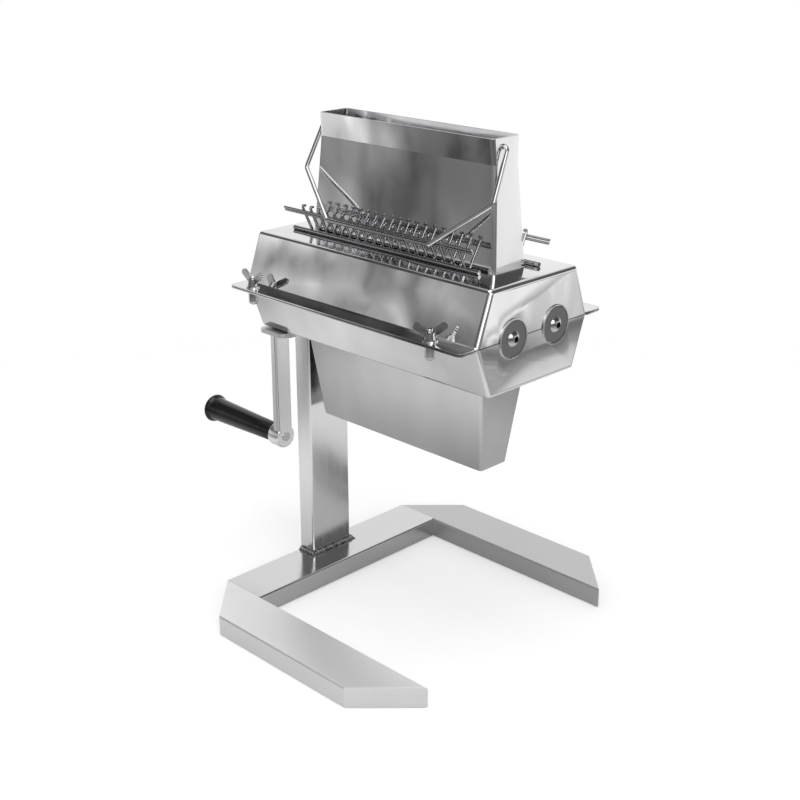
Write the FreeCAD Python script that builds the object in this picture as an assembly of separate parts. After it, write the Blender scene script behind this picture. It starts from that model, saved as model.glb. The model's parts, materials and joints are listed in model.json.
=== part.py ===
import FreeCAD, Part
import math
import os

os.makedirs("parts", exist_ok=True)

V = FreeCAD.Vector
X_AXIS = V(1, 0, 0)
Y_AXIS = V(0, 1, 0)
Z_AXIS = V(0, 0, 1)

# Frame: +Z up, +X from the crank end towards the free end, -Y is the crank roller's side.
# The origin is on the floor, under the middle of the base's crossbar. All sizes in mm.

# Base and post: 50 x 20 stainless box tube
tube_width = 50.0
tube_height = 20.0
tube_wall = 1.5
tube_corner = 2.0
base_width = 337.0
leg_length = 268.0
post_width = 50.0
post_depth = 20.0
weld_leg = 4.0
weld_toe = 0.4

# Saddle plate that carries the housing on the post
plate_length = 118.0
plate_width = 34.0
plate_thickness = 4.0
plate_corner = 6.0
plate_overhang = 12.0
pad_thickness = 1.2
pad_inset = 4.5
mount_bolt_diameter = 6.0
mount_bolt_flats = 10.0
mount_head_height = 4.0
mount_nut_height = 5.0
mount_spacing_x = 12.0
mount_spacing_y = 80.0
mount_thread_stand = 2.0

# Housing: two folded sheet halves that meet on the roller axes
sheet = 1.5
roller_axis_z = 307.0
housing_length = 284.4
housing_overhang = 12.1
seam_half_width = 70.8
cover_height = 45.3
cover_top_half_width = 54.6
lower_depth = 45.8
lower_bottom_half_width = 54.0
fold_radius = 4.0
flange_half_width = 90.5
flange_corner = 4.5

# Discharge chute under the housing
chute_offset_x = 1.7
chute_depth = 87.0
chute_inlet_half_length = 109.0
chute_inlet_half_width = 29.0
chute_outlet_half_length = 100.5
chute_outlet_half_width = 16.8
chute_corner = 3.0

# Feed hopper on the cover
hopper_sheet = 1.2
hopper_offset_x = 4.7
hopper_height = 108.7
hopper_rim_height = 21.0
hopper_rim_half_length = 102.2
hopper_rim_half_width = 17.0
hopper_neck_half_length = 103.3
hopper_neck_half_width = 15.2
hopper_foot_half_length = 109.6
hopper_foot_half_width = 20.4
hopper_corner = 3.5

# Blade rollers
work_offset_x = 0.2
roller_spacing = 54.0
blade_count = 20
blade_pitch = 10.4
roller_stagger = 0.75
blade_thickness = 1.2
blade_tip_radius = 28.5
blade_root_radius = 23.0
blade_teeth = 15
spacer_radius = 16.0
hex_flats = 17.0
journal_diameter = 16.0
circlip_width = 1.2
circlip_rise = 2.5
circlip_sink = 0.9

# Timing gears
gear_module = 2.0
gear_teeth = 27
gear_width = 12.0
gear_backlash = 0.2
gear_hub_radius = 14.0
gear_hub_length = 2.0
key_width = 5.0
key_height = 5.0
key_length = 10.0
pressure_angle = math.radians(20)
flank_points = 4

# Bearings and end discs
bearing_flange_radius = 17.25
bearing_lip = 1.0
bearing_cup_depth = 2.8
bearing_cup_wall = 0.9
bearing_web = 1.2
bearing_body_radius = 14.0
bearing_body_length = 12.4
disc_radius = 15.3
disc_thickness = 2.4
end_screw_head_radius = 7.0
end_screw_head_height = 2.8
end_screw_crown_radius = 2.9
end_screw_socket_flats = 5.0
end_screw_socket_depth = 1.8
end_screw_radius = 4.0
end_screw_length = 16.0

# Crank
crank_radius = 168.5
arm_thickness = 9.5
arm_width = 18.0
arm_edge = 2.6
arm_clearance = 1.4
hub_radius = 14.0
hub_length = 15.5
crank_square = 12.0
boss_radius = 11.6
boss_edge = 2.0
crank_washer_radius = 10.0
crank_washer_thickness = 1.6
grip_length = 100.0
grip_inner_radius = 9.4
grip_outer_radius = 12.0
grip_lip_radius = 14.4
grip_lip_width = 7.0
grip_end_radius = 11.2
grip_crown_offset = 2.5
spindle_radius = 4.0
spindle_head_radius = 7.0
spindle_head_height = 2.6
rivet_radius = 4.6
rivet_height = 1.0

# Comb that strips the meat off a roller
finger_count = 19
finger_size = 2.2
finger_path_radius = 23.6
finger_end_angle = 38.0
comb_low_rod_radius = 2.0
comb_top_rod_radius = 1.15
comb_top_rise = 20.1
comb_rod_gap = 0.5
hairpin_flat = 0.1
low_rod_inset = 3.2
comb_long_end = 24.5
comb_short_end = 18.4
hook_radius = 1.6
hook_stand = 3.7
slot_margin = 2.6
slot_corner_share = 0.9

# Bail that holds the crank side's comb down
bail_wire_radius = 2.0
bail_pivot_y = 4.4
bail_pivot_drop = 7.0
bail_leg_gap = 3.0
bail_knee_half_length = 111.2
bail_side_play = 1.6
bail_length = 89.2
bail_knee_share = 0.525
bail_bar_half_length = 61.7
bail_bar_shift = 4.2
bail_bend_radius = 4.5
bail_stub = 4.0

# Flange bolts, washers and wing nuts
flange_bolt_radius = 3.0
flange_bolt_y = 81.8
flange_bolt_inset_crank = 23.4
flange_bolt_inset_free = 40.0
bolt_head_radius = 4.6
bolt_head_height = 13.0
bolt_dome_share = 0.8
bolt_stand = 3.0
washer_radius = 6.2
washer_thickness = 1.2
wing_hub_radius = 4.8
wing_hub_top_radius = 3.9
wing_hub_height = 6.0
wing_length = 16.6
wing_width = 6.2
wing_thickness = 2.2
wing_tip_share = 0.9
wing_root_height = 2.9
wing_angle = 36.0
wing_turns = (0.0, 45.0, 60.0, -20.0)

# Clearances
running_fit = 0.05
face_gap = 0.2
rest_gap = 0.3
weld_overlap = 0.3
place_tolerance = 0.01
parallel_slope = 0.04

# Derived positions
roller_y = roller_spacing / 2
post_x0 = -tube_width / 2
post_x1 = post_x0 + post_depth
housing_x0 = post_x0 - housing_overhang
housing_x1 = housing_x0 + housing_length
work_x = (housing_x0 + housing_x1) / 2 + work_offset_x
hopper_x = work_x + hopper_offset_x
chute_x = work_x + chute_offset_x
cover_top_z = roller_axis_z + cover_height
lower_bottom_z = roller_axis_z - lower_depth
chute_outlet_z = lower_bottom_z - chute_depth
hopper_rim_z = cover_top_z + hopper_height
neck_z = hopper_rim_z - hopper_rim_height
plate_z1 = lower_bottom_z - pad_thickness
plate_z0 = plate_z1 - plate_thickness
plate_x0 = post_x0 - plate_overhang
plate_x1 = plate_x0 + plate_width
mount_x = (plate_x0 + plate_x1) / 2
bearing_web_x = bearing_lip - bearing_cup_depth
bearing_cup_radius = disc_radius + rest_gap + bearing_cup_wall
disc_inner_x = bearing_web_x + face_gap
disc_outer_x = disc_inner_x + disc_thickness
crank_inner_x = housing_x0 - bearing_web - arm_clearance
hub_outer_x = crank_inner_x - hub_length
gear_x0 = housing_x0 + sheet + bearing_body_length
work_half_length = blade_count * blade_pitch / 2
bail_pivot_z = hopper_rim_z - bail_pivot_drop


def save(shape, node):
    shape.exportStep("parts/" + node + ".step")


def box(x0, x1, y0, y1, z0, z1):
    return Part.makeBox(x1 - x0, y1 - y0, z1 - z0, V(x0, y0, z0))


def rod_x(x0, x1, y, z, radius):
    return Part.makeCylinder(radius, x1 - x0, V(x0, y, z), X_AXIS)


def rod_z(x, y, z0, z1, radius):
    return Part.makeCylinder(radius, z1 - z0, V(x, y, z0), Z_AXIS)


def mirrored_y(shape):
    return shape.mirror(V(0, 0, 0), Y_AXIS)


def turned_about(x, shape):
    """The same piece turned half round about the vertical line at x on the centre plane."""
    copy = shape.copy()
    copy.rotate(V(x, 0, 0), Z_AXIS, 180)
    return copy


def prism(points, direction):
    return Part.Face(Part.makePolygon(points + [points[0]])).extrude(direction)


def hexagon_x(x0, x1, y, z, flats):
    """A hexagonal bar along X, with flats above and below."""
    corner = flats / math.sqrt(3)
    angles = [math.radians(60 * i) for i in range(6)]
    points = [V(x0, y + corner * math.cos(a), z + corner * math.sin(a)) for a in angles]
    return prism(points, V(x1 - x0, 0, 0))


def hexagon_z(x, y, z0, z1, flats):
    """An upright hexagonal bar, with flats that face X."""
    corner = flats / math.sqrt(3)
    angles = [math.radians(60 * i + 30) for i in range(6)]
    points = [V(x + corner * math.cos(a), y + corner * math.sin(a), z0) for a in angles]
    return prism(points, V(0, 0, z1 - z0))


def edges_along(shape, direction, keep=lambda edge: True):
    """The straight edges of a shape that run along a direction and pass a test."""
    found = []
    for edge in shape.Edges:
        if len(edge.Vertexes) != 2:
            continue
        run = edge.Vertexes[1].Point - edge.Vertexes[0].Point
        if run.Length > 0 and run.cross(direction).Length < parallel_slope * run.Length and keep(edge):
            found.append(edge)
    return found


def rod_between(start, end, radius):
    run = end - start
    return Part.makeCylinder(radius, run.Length, start, run)


def bent_wire(points, bend_radius, wire_radius):
    """Round wire along the points: straight runs joined by bends of one radius."""
    pieces = []
    start = points[0]
    for before, corner, after in zip(points, points[1:], points[2:]):
        incoming = (before - corner).normalize()
        outgoing = (after - corner).normalize()
        half_angle = incoming.getAngle(outgoing) / 2
        reach = bend_radius / math.tan(half_angle)
        bend_start = corner + incoming * reach
        centre = corner + (incoming + outgoing).normalize() * (bend_radius / math.sin(half_angle))
        ring = Part.Face(Part.Wire(Part.makeCircle(wire_radius, bend_start, incoming)))
        turn = 180 - 2 * math.degrees(half_angle)
        pieces.append(rod_between(start, bend_start, wire_radius))
        pieces.append(ring.revolve(centre, outgoing.cross(incoming), turn))
        start = corner + outgoing * reach
    pieces.append(rod_between(start, points[-1], wire_radius))
    return pieces[0].fuse(pieces[1:])


def rounded_rectangle(cx, half_x, half_y, z, radius):
    """A closed wire round a rectangle with rounded corners, centred on y = 0."""
    plain = box(cx - half_x, cx + half_x, -half_y, half_y, z, z + radius)
    soft = plain.makeFillet(radius, edges_along(plain, Z_AXIS))
    return min(soft.Faces, key=lambda face: face.CenterOfMass.z).OuterWire


# ---------------------------------------------------------------- base and post

def leg_outline(inset):
    """Leg tube seen from above: both ends cut at 45 degrees, the long edge inwards."""
    x0 = -tube_width / 2
    x1 = x0 + leg_length
    outer = -base_width / 2
    inner = outer + tube_width
    diagonal = inset * math.tan(math.radians(67.5))
    sharp = inset / math.tan(math.radians(22.5))
    shift = tube_width + diagonal - inset
    return [(x0 + shift, outer + inset), (x1 - shift, outer + inset),
            (x1 - sharp, inner - inset), (x0 + sharp, inner - inset)]


def leg_tube():
    """Box tube sawn at 45 degrees, each end closed by a welded plate of the tube's wall."""
    y0 = -base_width / 2
    stock = box(-tube_width / 2, leg_length - tube_width / 2, y0, y0 + tube_width, 0, tube_height)
    stock = stock.makeFillet(tube_corner, edges_along(stock, X_AXIS))
    outer = stock.common(prism([V(x, y, 0) for x, y in leg_outline(0)], V(0, 0, tube_height)))
    cavity_height = tube_height - 2 * tube_wall
    cavity = prism([V(x, y, tube_wall) for x, y in leg_outline(tube_wall)], V(0, 0, cavity_height))
    return outer.cut(cavity)


def crossbar_tube():
    half = base_width / 2 - tube_width
    outer = box(-tube_width / 2, tube_width / 2, -half, half, 0, tube_height)
    outer = outer.makeFillet(tube_corner, edges_along(outer, Y_AXIS))
    inner_x = tube_width / 2 - tube_wall
    cavity = box(-inner_x, inner_x, -half, half, tube_wall, tube_height - tube_wall)
    return outer.cut(cavity)


def post_tube():
    outer = box(post_x0, post_x1, -post_width / 2, post_width / 2, tube_height, plate_z0)
    outer = outer.makeFillet(tube_corner, edges_along(outer, Z_AXIS))
    inner_y = post_width / 2 - tube_wall
    cavity = box(post_x0 + tube_wall, post_x1 - tube_wall, -inner_y, inner_y, tube_height, plate_z0)
    return outer.cut(cavity)


def post_weld():
    """Fillet weld round the post's two narrow sides and its wide inner side."""
    z = tube_height
    half = post_width / 2
    start_x = post_x0 + tube_corner
    foot = box(start_x, post_x1 + weld_leg, -half - weld_leg, half + weld_leg, z, z + weld_leg)
    top = [edge for edge in foot.Edges if edge.BoundBox.ZMin > z + weld_leg - place_tolerance]
    sloped = [edge for edge in top if edge.BoundBox.XMax > start_x + place_tolerance]
    foot = foot.makeChamfer(weld_leg - weld_toe, sloped)
    keep_out = box(post_x0, post_x1, -half, half, z, z + weld_leg)
    return foot.cut(keep_out.makeFillet(tube_corner, edges_along(keep_out, Z_AXIS)))


# ---------------------------------------------------------------- saddle and its bolts

def mount_places():
    return [(mount_x + sx * mount_spacing_x / 2, sy * mount_spacing_y / 2) for sx in (-1, 1) for sy in (-1, 1)]


def saddle_layer(z0, z1, trim):
    """A rectangular layer of the saddle with rounded corners and the four bolt holes."""
    half = plate_length / 2 - trim
    layer = box(plate_x0 + trim, plate_x1 - trim, -half, half, z0, z1)
    layer = layer.makeFillet(plate_corner - trim, edges_along(layer, Z_AXIS))
    hole = mount_bolt_diameter / 2 + face_gap
    return layer.cut([rod_z(x, y, z0, z1, hole) for x, y in mount_places()])


def mount_bolt(x, y):
    head = hexagon_z(x, y, plate_z0 - mount_head_height, plate_z0, mount_bolt_flats)
    nut_top = lower_bottom_z + sheet + mount_nut_height
    return head.fuse(rod_z(x, y, plate_z0, nut_top + mount_thread_stand, mount_bolt_diameter / 2))


def mount_nut(x, y):
    z0 = lower_bottom_z + sheet
    nut = hexagon_z(x, y, z0, z0 + mount_nut_height, mount_bolt_flats)
    return nut.cut(rod_z(x, y, z0, z0 + mount_nut_height, mount_bolt_diameter / 2 + running_fit))


# ---------------------------------------------------------------- housing halves

def folded_body(half_seam, half_far, z_seam, z_far, x0, x1, radius):
    """Trapezoid body with upright ends; its corners and its far edges are rounded folds."""
    points = [V(x0, -half_seam, z_seam), V(x0, half_seam, z_seam),
              V(x0, half_far, z_far), V(x0, -half_far, z_far)]
    body = prism(points, V(x1 - x0, 0, 0))
    rounded = [edge for edge in body.Edges if abs(edge.CenterOfMass.z - z_seam) > place_tolerance]
    return body.makeFillet(radius, rounded)


def folded_shell(half_far, z_far):
    """One half of the housing as a sheet shell, open at the seam."""
    slope = math.hypot(seam_half_width - half_far, z_far - roller_axis_z) / abs(z_far - roller_axis_z)
    side = sheet * slope
    inward = math.copysign(sheet, roller_axis_z - z_far)
    shrink = side - (seam_half_width - half_far) * sheet / abs(z_far - roller_axis_z)
    outer = folded_body(seam_half_width, half_far, roller_axis_z, z_far, housing_x0, housing_x1, fold_radius)
    inner = folded_body(seam_half_width - side, half_far - shrink, roller_axis_z, z_far + inward,
                        housing_x0 + sheet, housing_x1 - sheet, fold_radius - sheet)
    return outer.cut(inner)


def flange(z0, z1, half_inner):
    """The two bolting flanges of a housing half."""
    plates = []
    for side in (-1, 1):
        edge_y = sorted((side * half_inner, side * flange_half_width))
        plate = box(housing_x0, housing_x1, edge_y[0], edge_y[1], z0, z1)
        free = edges_along(plate, Z_AXIS, lambda e: abs(e.CenterOfMass.y) > flange_half_width - place_tolerance)
        plates.append(plate.makeFillet(flange_corner, free))
    return plates


def flange_places():
    xs = (housing_x0 + flange_bolt_inset_crank, housing_x1 - flange_bolt_inset_free)
    return [(x, side * flange_bolt_y) for side in (-1, 1) for x in xs]


def seam_holes():
    """Round openings on the seam for the four bearings."""
    cutters = []
    for y in (-roller_y, roller_y):
        cutters.append(rod_x(housing_x0, housing_x0 + sheet, y, roller_axis_z, bearing_body_radius))
        cutters.append(rod_x(housing_x1 - sheet, housing_x1, y, roller_axis_z, bearing_cup_radius))
    return cutters


def flange_holes():
    reach = 2 * sheet
    radius = flange_bolt_radius + face_gap
    return [rod_z(x, y, roller_axis_z - reach, roller_axis_z + reach, radius) for x, y in flange_places()]


def housing_half(half_far, z_far, flange_z0, flange_z1):
    shell = folded_shell(half_far, z_far)
    shell = shell.fuse(flange(flange_z0, flange_z1, seam_half_width - sheet))
    return shell.cut(seam_holes() + flange_holes())


def finger_x(index):
    """Place of a finger of the crank side's comb; it stands midway between two blades."""
    return work_x + roller_shift(-1) + (index - (finger_count - 1) / 2) * blade_pitch


def comb_slot():
    """Slot in the cover for the crank side's fingers."""
    _, side_y = finger_point(cover_top_z)
    half = finger_size / 2 + slot_margin / 2
    x0 = finger_x(0) - finger_size / 2 - slot_margin
    x1 = finger_x(finger_count - 1) + finger_size / 2 + slot_margin
    slot = box(x0, x1, side_y - half, side_y + half, cover_top_z - 2 * sheet, cover_top_z + sheet)
    return slot.makeFillet(half * slot_corner_share, edges_along(slot, Z_AXIS))


def upper_cover():
    cover = housing_half(cover_top_half_width, cover_top_z, roller_axis_z, roller_axis_z + sheet)
    throat = loft_prism(hopper_x, hopper_foot_half_length - hopper_sheet, hopper_foot_half_width - hopper_sheet,
                        cover_top_z - 2 * sheet, cover_top_z + sheet, hopper_corner - hopper_sheet)
    slot = comb_slot()
    return cover.cut([throat, slot, turned_about(work_x, slot)])


def lower_housing():
    lower = housing_half(lower_bottom_half_width, lower_bottom_z, roller_axis_z - sheet, roller_axis_z)
    outlet = loft_prism(chute_x, chute_inlet_half_length - sheet, chute_inlet_half_width - sheet,
                        lower_bottom_z - sheet, lower_bottom_z + 2 * sheet, chute_corner - sheet)
    hole = mount_bolt_diameter / 2 + face_gap
    bolts = [rod_z(x, y, lower_bottom_z, lower_bottom_z + sheet, hole) for x, y in mount_places()]
    return lower.cut([outlet] + bolts)


def loft_prism(cx, half_x, half_y, z0, z1, radius):
    """An upright bar with a rounded rectangular section."""
    bar = box(cx - half_x, cx + half_x, -half_y, half_y, z0, z1)
    return bar.makeFillet(radius, edges_along(bar, Z_AXIS))


def discharge_chute():
    """Tapered duct of folded sheet below the rollers."""
    walls = []
    for inset in (0, sheet):
        top = rounded_rectangle(chute_x, chute_inlet_half_length - inset, chute_inlet_half_width - inset,
                                lower_bottom_z, chute_corner - inset)
        low = rounded_rectangle(chute_x, chute_outlet_half_length - inset, chute_outlet_half_width - inset,
                                chute_outlet_z, chute_corner - inset)
        walls.append(Part.makeLoft([low, top], True, True))
    return walls[0].cut(walls[1])


def hopper_body(inset):
    """The hopper's outer form: tapered walls up to a neck, and a flared rim."""
    radius = hopper_corner - inset
    foot = rounded_rectangle(hopper_x, hopper_foot_half_length - inset, hopper_foot_half_width - inset,
                             cover_top_z, radius)
    neck = rounded_rectangle(hopper_x, hopper_neck_half_length - inset, hopper_neck_half_width - inset,
                             neck_z, radius)
    rim = rounded_rectangle(hopper_x, hopper_rim_half_length - inset, hopper_rim_half_width - inset,
                            hopper_rim_z, radius)
    return Part.makeLoft([foot, neck, rim], True, True)


def feed_hopper():
    hopper = hopper_body(0).cut(hopper_body(hopper_sheet))
    x0 = hopper_x - 2 * hopper_rim_half_length
    x1 = hopper_x + 2 * hopper_rim_half_length
    return hopper.cut(rod_x(x0, x1, -bail_pivot_y, bail_pivot_z, bail_wire_radius + running_fit))


# ---------------------------------------------------------------- bearings

def bearing_at_free_end(y):
    """Flanged bearing shell let into the free end wall; its cup takes the end disc."""
    x = housing_x1
    z = roller_axis_z
    web_x = x + bearing_web_x
    shell = rod_x(x, x + bearing_lip, y, z, bearing_flange_radius)
    rim = [edge for edge in shell.Edges if edge.BoundBox.XMin > x + bearing_lip - place_tolerance]
    shell = shell.makeFillet(bearing_lip / 2, rim)
    shell = shell.fuse([rod_x(web_x - bearing_web, x, y, z, bearing_cup_radius),
                        rod_x(x - bearing_body_length, x, y, z, bearing_body_radius)])
    cup = rod_x(web_x, x + bearing_lip, y, z, disc_radius + rest_gap)
    bore = rod_x(x - bearing_body_length, web_x, y, z, journal_diameter / 2 + running_fit)
    return shell.cut([cup, bore])


def bearing_at_crank_end(y):
    """Flanged bearing shell on the crank end wall; its flat face lies behind the crank arm's path."""
    x = housing_x0
    z = roller_axis_z
    shell = rod_x(x - bearing_web, x, y, z, bearing_flange_radius)
    shell = shell.fuse(rod_x(x, x + bearing_body_length, y, z, bearing_body_radius))
    bore = rod_x(x - bearing_web, x + bearing_body_length, y, z, journal_diameter / 2 + running_fit)
    return shell.cut(bore)


def end_disc(y):
    x = housing_x1 + disc_inner_x
    disc = rod_x(x, x + disc_thickness, y, roller_axis_z, disc_radius)
    return disc.cut(rod_x(x, x + disc_thickness, y, roller_axis_z, end_screw_radius + running_fit))


def button_screw(x, y, z):
    """Button head socket screw whose head sits on the face at x and whose thread runs to -X."""
    height = end_screw_head_height
    radius = end_screw_head_radius
    centre = (end_screw_crown_radius ** 2 + height ** 2 - radius ** 2) / (2 * height)
    dome = Part.makeSphere(math.hypot(radius, centre), V(x + centre, y, z))
    head = rod_x(x, x + height, y, z, radius).common(dome)
    socket = hexagon_x(x + height - end_screw_socket_depth, x + height, y, z, end_screw_socket_flats)
    return head.cut(socket).fuse(rod_x(x - end_screw_length, x, y, z, end_screw_radius))


# ---------------------------------------------------------------- rollers

def roller_shift(side):
    """The rollers stand one and a half pitches apart, so their blades pass between each other."""
    return side * roller_stagger * blade_pitch


def blade(x, y):
    """Thin ring of pointed cutting teeth with a hexagonal bore."""
    points = []
    for i in range(2 * blade_teeth):
        radius = blade_tip_radius if i % 2 == 0 else blade_root_radius
        angle = math.pi * i / blade_teeth
        points.append(V(x, y + radius * math.cos(angle), roller_axis_z + radius * math.sin(angle)))
    ring = prism(points, V(blade_thickness, 0, 0))
    return ring.cut(hexagon_x(x, x + blade_thickness, y, roller_axis_z, hex_flats + 2 * running_fit))


def blade_x0(index, side):
    return work_x + roller_shift(side) + (index - (blade_count - 1) / 2) * blade_pitch - blade_thickness / 2


def spacer(x0, x1, y):
    tube = rod_x(x0, x1, y, roller_axis_z, spacer_radius)
    return tube.cut(hexagon_x(x0, x1, y, roller_axis_z, hex_flats + 2 * running_fit))


def stack_ends(side):
    """First and last x of the blade stack with its end spacers."""
    return (blade_x0(0, side) - (blade_pitch - blade_thickness) / 2,
            blade_x0(blade_count - 1, side) + blade_thickness + (blade_pitch - blade_thickness) / 2)


def spacers(side):
    first, last = stack_ends(side)
    y = side * roller_y
    starts = [first] + [blade_x0(i, side) + blade_thickness for i in range(blade_count)]
    ends = [blade_x0(i, side) for i in range(blade_count)] + [last]
    return Part.Compound([spacer(x0, x1, y) for x0, x1 in zip(starts, ends)])


def blades(side):
    return Part.Compound([blade(blade_x0(i, side), side * roller_y) for i in range(blade_count)])


def circlip_places(side):
    """Circlips clamp the stack at both ends and hold the gear."""
    first, last = stack_ends(side)
    return [first - circlip_width, last]


def circlip(x, y):
    ring = rod_x(x, x + circlip_width, y, roller_axis_z, hex_flats / math.sqrt(3) + circlip_rise)
    ring = ring.cut(rod_x(x, x + circlip_width, y, roller_axis_z, hex_flats / 2 - circlip_sink))
    gap = box(x, x + circlip_width, y - circlip_rise, y + circlip_rise, roller_axis_z,
              roller_axis_z + 2 * hex_flats)
    return ring.cut(gap)


def roller_shaft(side):
    """Hexagonal shaft with turned journals, circlip grooves, a key seat and tapped ends.

    The front shaft reaches through its bearing to the crank; the back one ends in its bearing.
    """
    y = side * roller_y
    z = roller_axis_z
    first, last = stack_ends(side)
    margin = 2 * circlip_width
    free_face = housing_x1 + disc_inner_x
    journal_x0 = crank_inner_x if side < 0 else housing_x0 - bearing_web + face_gap
    shaft = hexagon_x(first - margin, last + margin, y, z, hex_flats)
    shaft = shaft.fuse(rod_x(last + margin, free_face, y, z, journal_diameter / 2))
    shaft = shaft.fuse(rod_x(journal_x0, first - margin, y, z, journal_diameter / 2))
    cuts = [circlip(x, y) for x in circlip_places(side)]
    cuts.append(gear_key(side))
    cuts.append(rod_x(free_face - end_screw_length, free_face, y, z, end_screw_radius))
    if side < 0:
        square = crank_square / 2
        square_x0 = hub_outer_x + face_gap
        shaft = shaft.fuse(box(square_x0, crank_inner_x, y - square, y + square, z - square, z + square))
        cuts.append(rod_x(square_x0, square_x0 + end_screw_length, y, z, end_screw_radius))
    return shaft.cut(cuts)


def gear_key(side):
    y = side * roller_y
    x0 = gear_x0 + (gear_width - key_length) / 2
    top = roller_axis_z + journal_diameter / 2 + key_height / 2
    return box(x0, x0 + key_length, y - key_width / 2, y + key_width / 2, top - key_height, top)


def involute_point(base_radius, radius):
    """Polar angle of the involute of a base circle at a radius."""
    roll = math.sqrt(max(0.0, (radius / base_radius) ** 2 - 1))
    return roll - math.atan(roll)


def gear(side):
    """Spur gear with involute flanks; the two gears stand half a tooth apart."""
    y = side * roller_y
    pitch_radius = gear_module * gear_teeth / 2
    base_radius = pitch_radius * math.cos(pressure_angle)
    tip_radius = pitch_radius + gear_module
    root_radius = pitch_radius - 1.25 * gear_module
    half_tooth = (math.pi * pitch_radius / gear_teeth - gear_backlash) / (2 * pitch_radius)
    at_pitch = involute_point(base_radius, pitch_radius)
    radii = [base_radius + (tip_radius - base_radius) * i / (flank_points - 1) for i in range(flank_points)]
    flank = [(root_radius, half_tooth + at_pitch)]
    flank += [(r, half_tooth + at_pitch - involute_point(base_radius, r)) for r in radii]
    start = 0.0 if side < 0 else math.pi - math.pi / gear_teeth
    points = []
    for tooth in range(gear_teeth):
        centre = start + 2 * math.pi * tooth / gear_teeth
        polar = [(r, centre - a) for r, a in flank] + [(r, centre + a) for r, a in reversed(flank)]
        points += [V(gear_x0, y + r * math.cos(a), roller_axis_z + r * math.sin(a)) for r, a in polar]
    body = prism(points, V(gear_width, 0, 0))
    hub = rod_x(gear_x0 + gear_width, gear_x0 + gear_width + gear_hub_length, y, roller_axis_z, gear_hub_radius)
    bore = rod_x(gear_x0, gear_x0 + gear_width + gear_hub_length, y, roller_axis_z,
                 journal_diameter / 2 + running_fit)
    return body.fuse(hub).cut([bore, gear_key(side)])


# ---------------------------------------------------------------- crank

def crank_arm():
    """Flat bar arm with a round hub on the shaft's square and a round boss for the grip."""
    x1 = crank_inner_x
    x0 = x1 - arm_thickness
    y = -roller_y
    low = roller_axis_z - crank_radius
    bar = box(x0, x1, y - arm_width / 2, y + arm_width / 2, low, roller_axis_z)
    bar = bar.makeFillet(arm_edge, edges_along(bar, Z_AXIS))
    hub = rod_x(hub_outer_x, x1, y, roller_axis_z, hub_radius)
    boss = rod_x(hub_outer_x, x1, y, low, boss_radius)
    boss = boss.makeFillet(boss_edge, [edge for edge in boss.Edges if edge.isClosed()])
    square = crank_square / 2 + running_fit
    seat = box(hub_outer_x, x1, y - square, y + square, roller_axis_z - square, roller_axis_z + square)
    pin = rod_x(hub_outer_x, x1, y, low, spindle_radius + running_fit)
    return bar.fuse([hub, boss]).cut([seat, pin])


def crank_washer():
    x1 = hub_outer_x
    x0 = x1 - crank_washer_thickness
    ring = rod_x(x0, x1, -roller_y, roller_axis_z, crank_washer_radius)
    return ring.cut(rod_x(x0, x1, -roller_y, roller_axis_z, end_screw_radius + running_fit))


def crank_screw():
    """Button screw turned round: its head on the washer, its thread in the shaft's end."""
    screw = button_screw(0, 0, 0)
    screw.rotate(V(0, 0, 0), Z_AXIS, 180)
    screw.translate(V(hub_outer_x - crank_washer_thickness, -roller_y, roller_axis_z))
    return screw


def grip_ends():
    outer = hub_outer_x - rest_gap - grip_length
    return outer, hub_outer_x - rest_gap


def grip_spindle():
    """Pin riveted in the boss, with a head that keeps the grip on."""
    low = roller_axis_z - crank_radius
    outer, _ = grip_ends()
    y = -roller_y
    head_x = outer + grip_lip_width - rest_gap
    pin = rod_x(head_x, crank_inner_x, y, low, spindle_radius)
    head = rod_x(head_x - spindle_head_height, head_x, y, low, spindle_head_radius)
    rivet = rod_x(crank_inner_x, crank_inner_x + rivet_height, y, low, rivet_radius)
    return pin.fuse([head, rivet])


def handle_grip():
    """Turned grip: a lip at the outer end and a body that tapers to the arm."""
    outer, inner = grip_ends()
    low = roller_axis_z - crank_radius
    y = -roller_y
    neck_x = outer + grip_lip_width

    def at(x, radius):
        return V(x, y + radius, low)

    lip_start = at(outer, grip_end_radius)
    lip_crown = at(outer + grip_crown_offset, grip_lip_radius)
    lip_end = at(neck_x, grip_outer_radius)
    rim = Part.makePolygon([lip_end, at(inner, grip_inner_radius), at(inner, 0), at(outer, 0), lip_start])
    profile = Part.Wire([Part.Arc(lip_start, lip_crown, lip_end).toShape()] + rim.Edges)
    body = Part.Face(profile).revolve(V(outer, y, low), X_AXIS, 360)
    bore = rod_x(outer, inner, y, low, spindle_radius + running_fit)
    recess = rod_x(outer, neck_x, y, low, spindle_head_radius + rest_gap)
    return body.cut([bore, recess])


# ---------------------------------------------------------------- combs

def finger_line():
    """Tangent line of the fingers beside the low rod: unit direction upwards and its foot."""
    rise = comb_low_z() - roller_axis_z
    offset = comb_low_rod_radius + finger_size / 2 - weld_overlap
    lean = math.asin((finger_path_radius - offset) / rise)
    up = (-math.sin(lean), math.cos(lean))
    normal = (math.cos(lean), math.sin(lean))
    foot = (-roller_y + normal[0] * finger_path_radius, roller_axis_z + normal[1] * finger_path_radius)
    return up, normal, foot, lean


def comb_low_z():
    return cover_top_z + comb_low_rod_radius


def finger_point(z):
    """Distance along the finger line, and y on it, at a height."""
    up, _, foot, _ = finger_line()
    along = (z - foot[1]) / up[1]
    return along, foot[0] + along * up[0]


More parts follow.
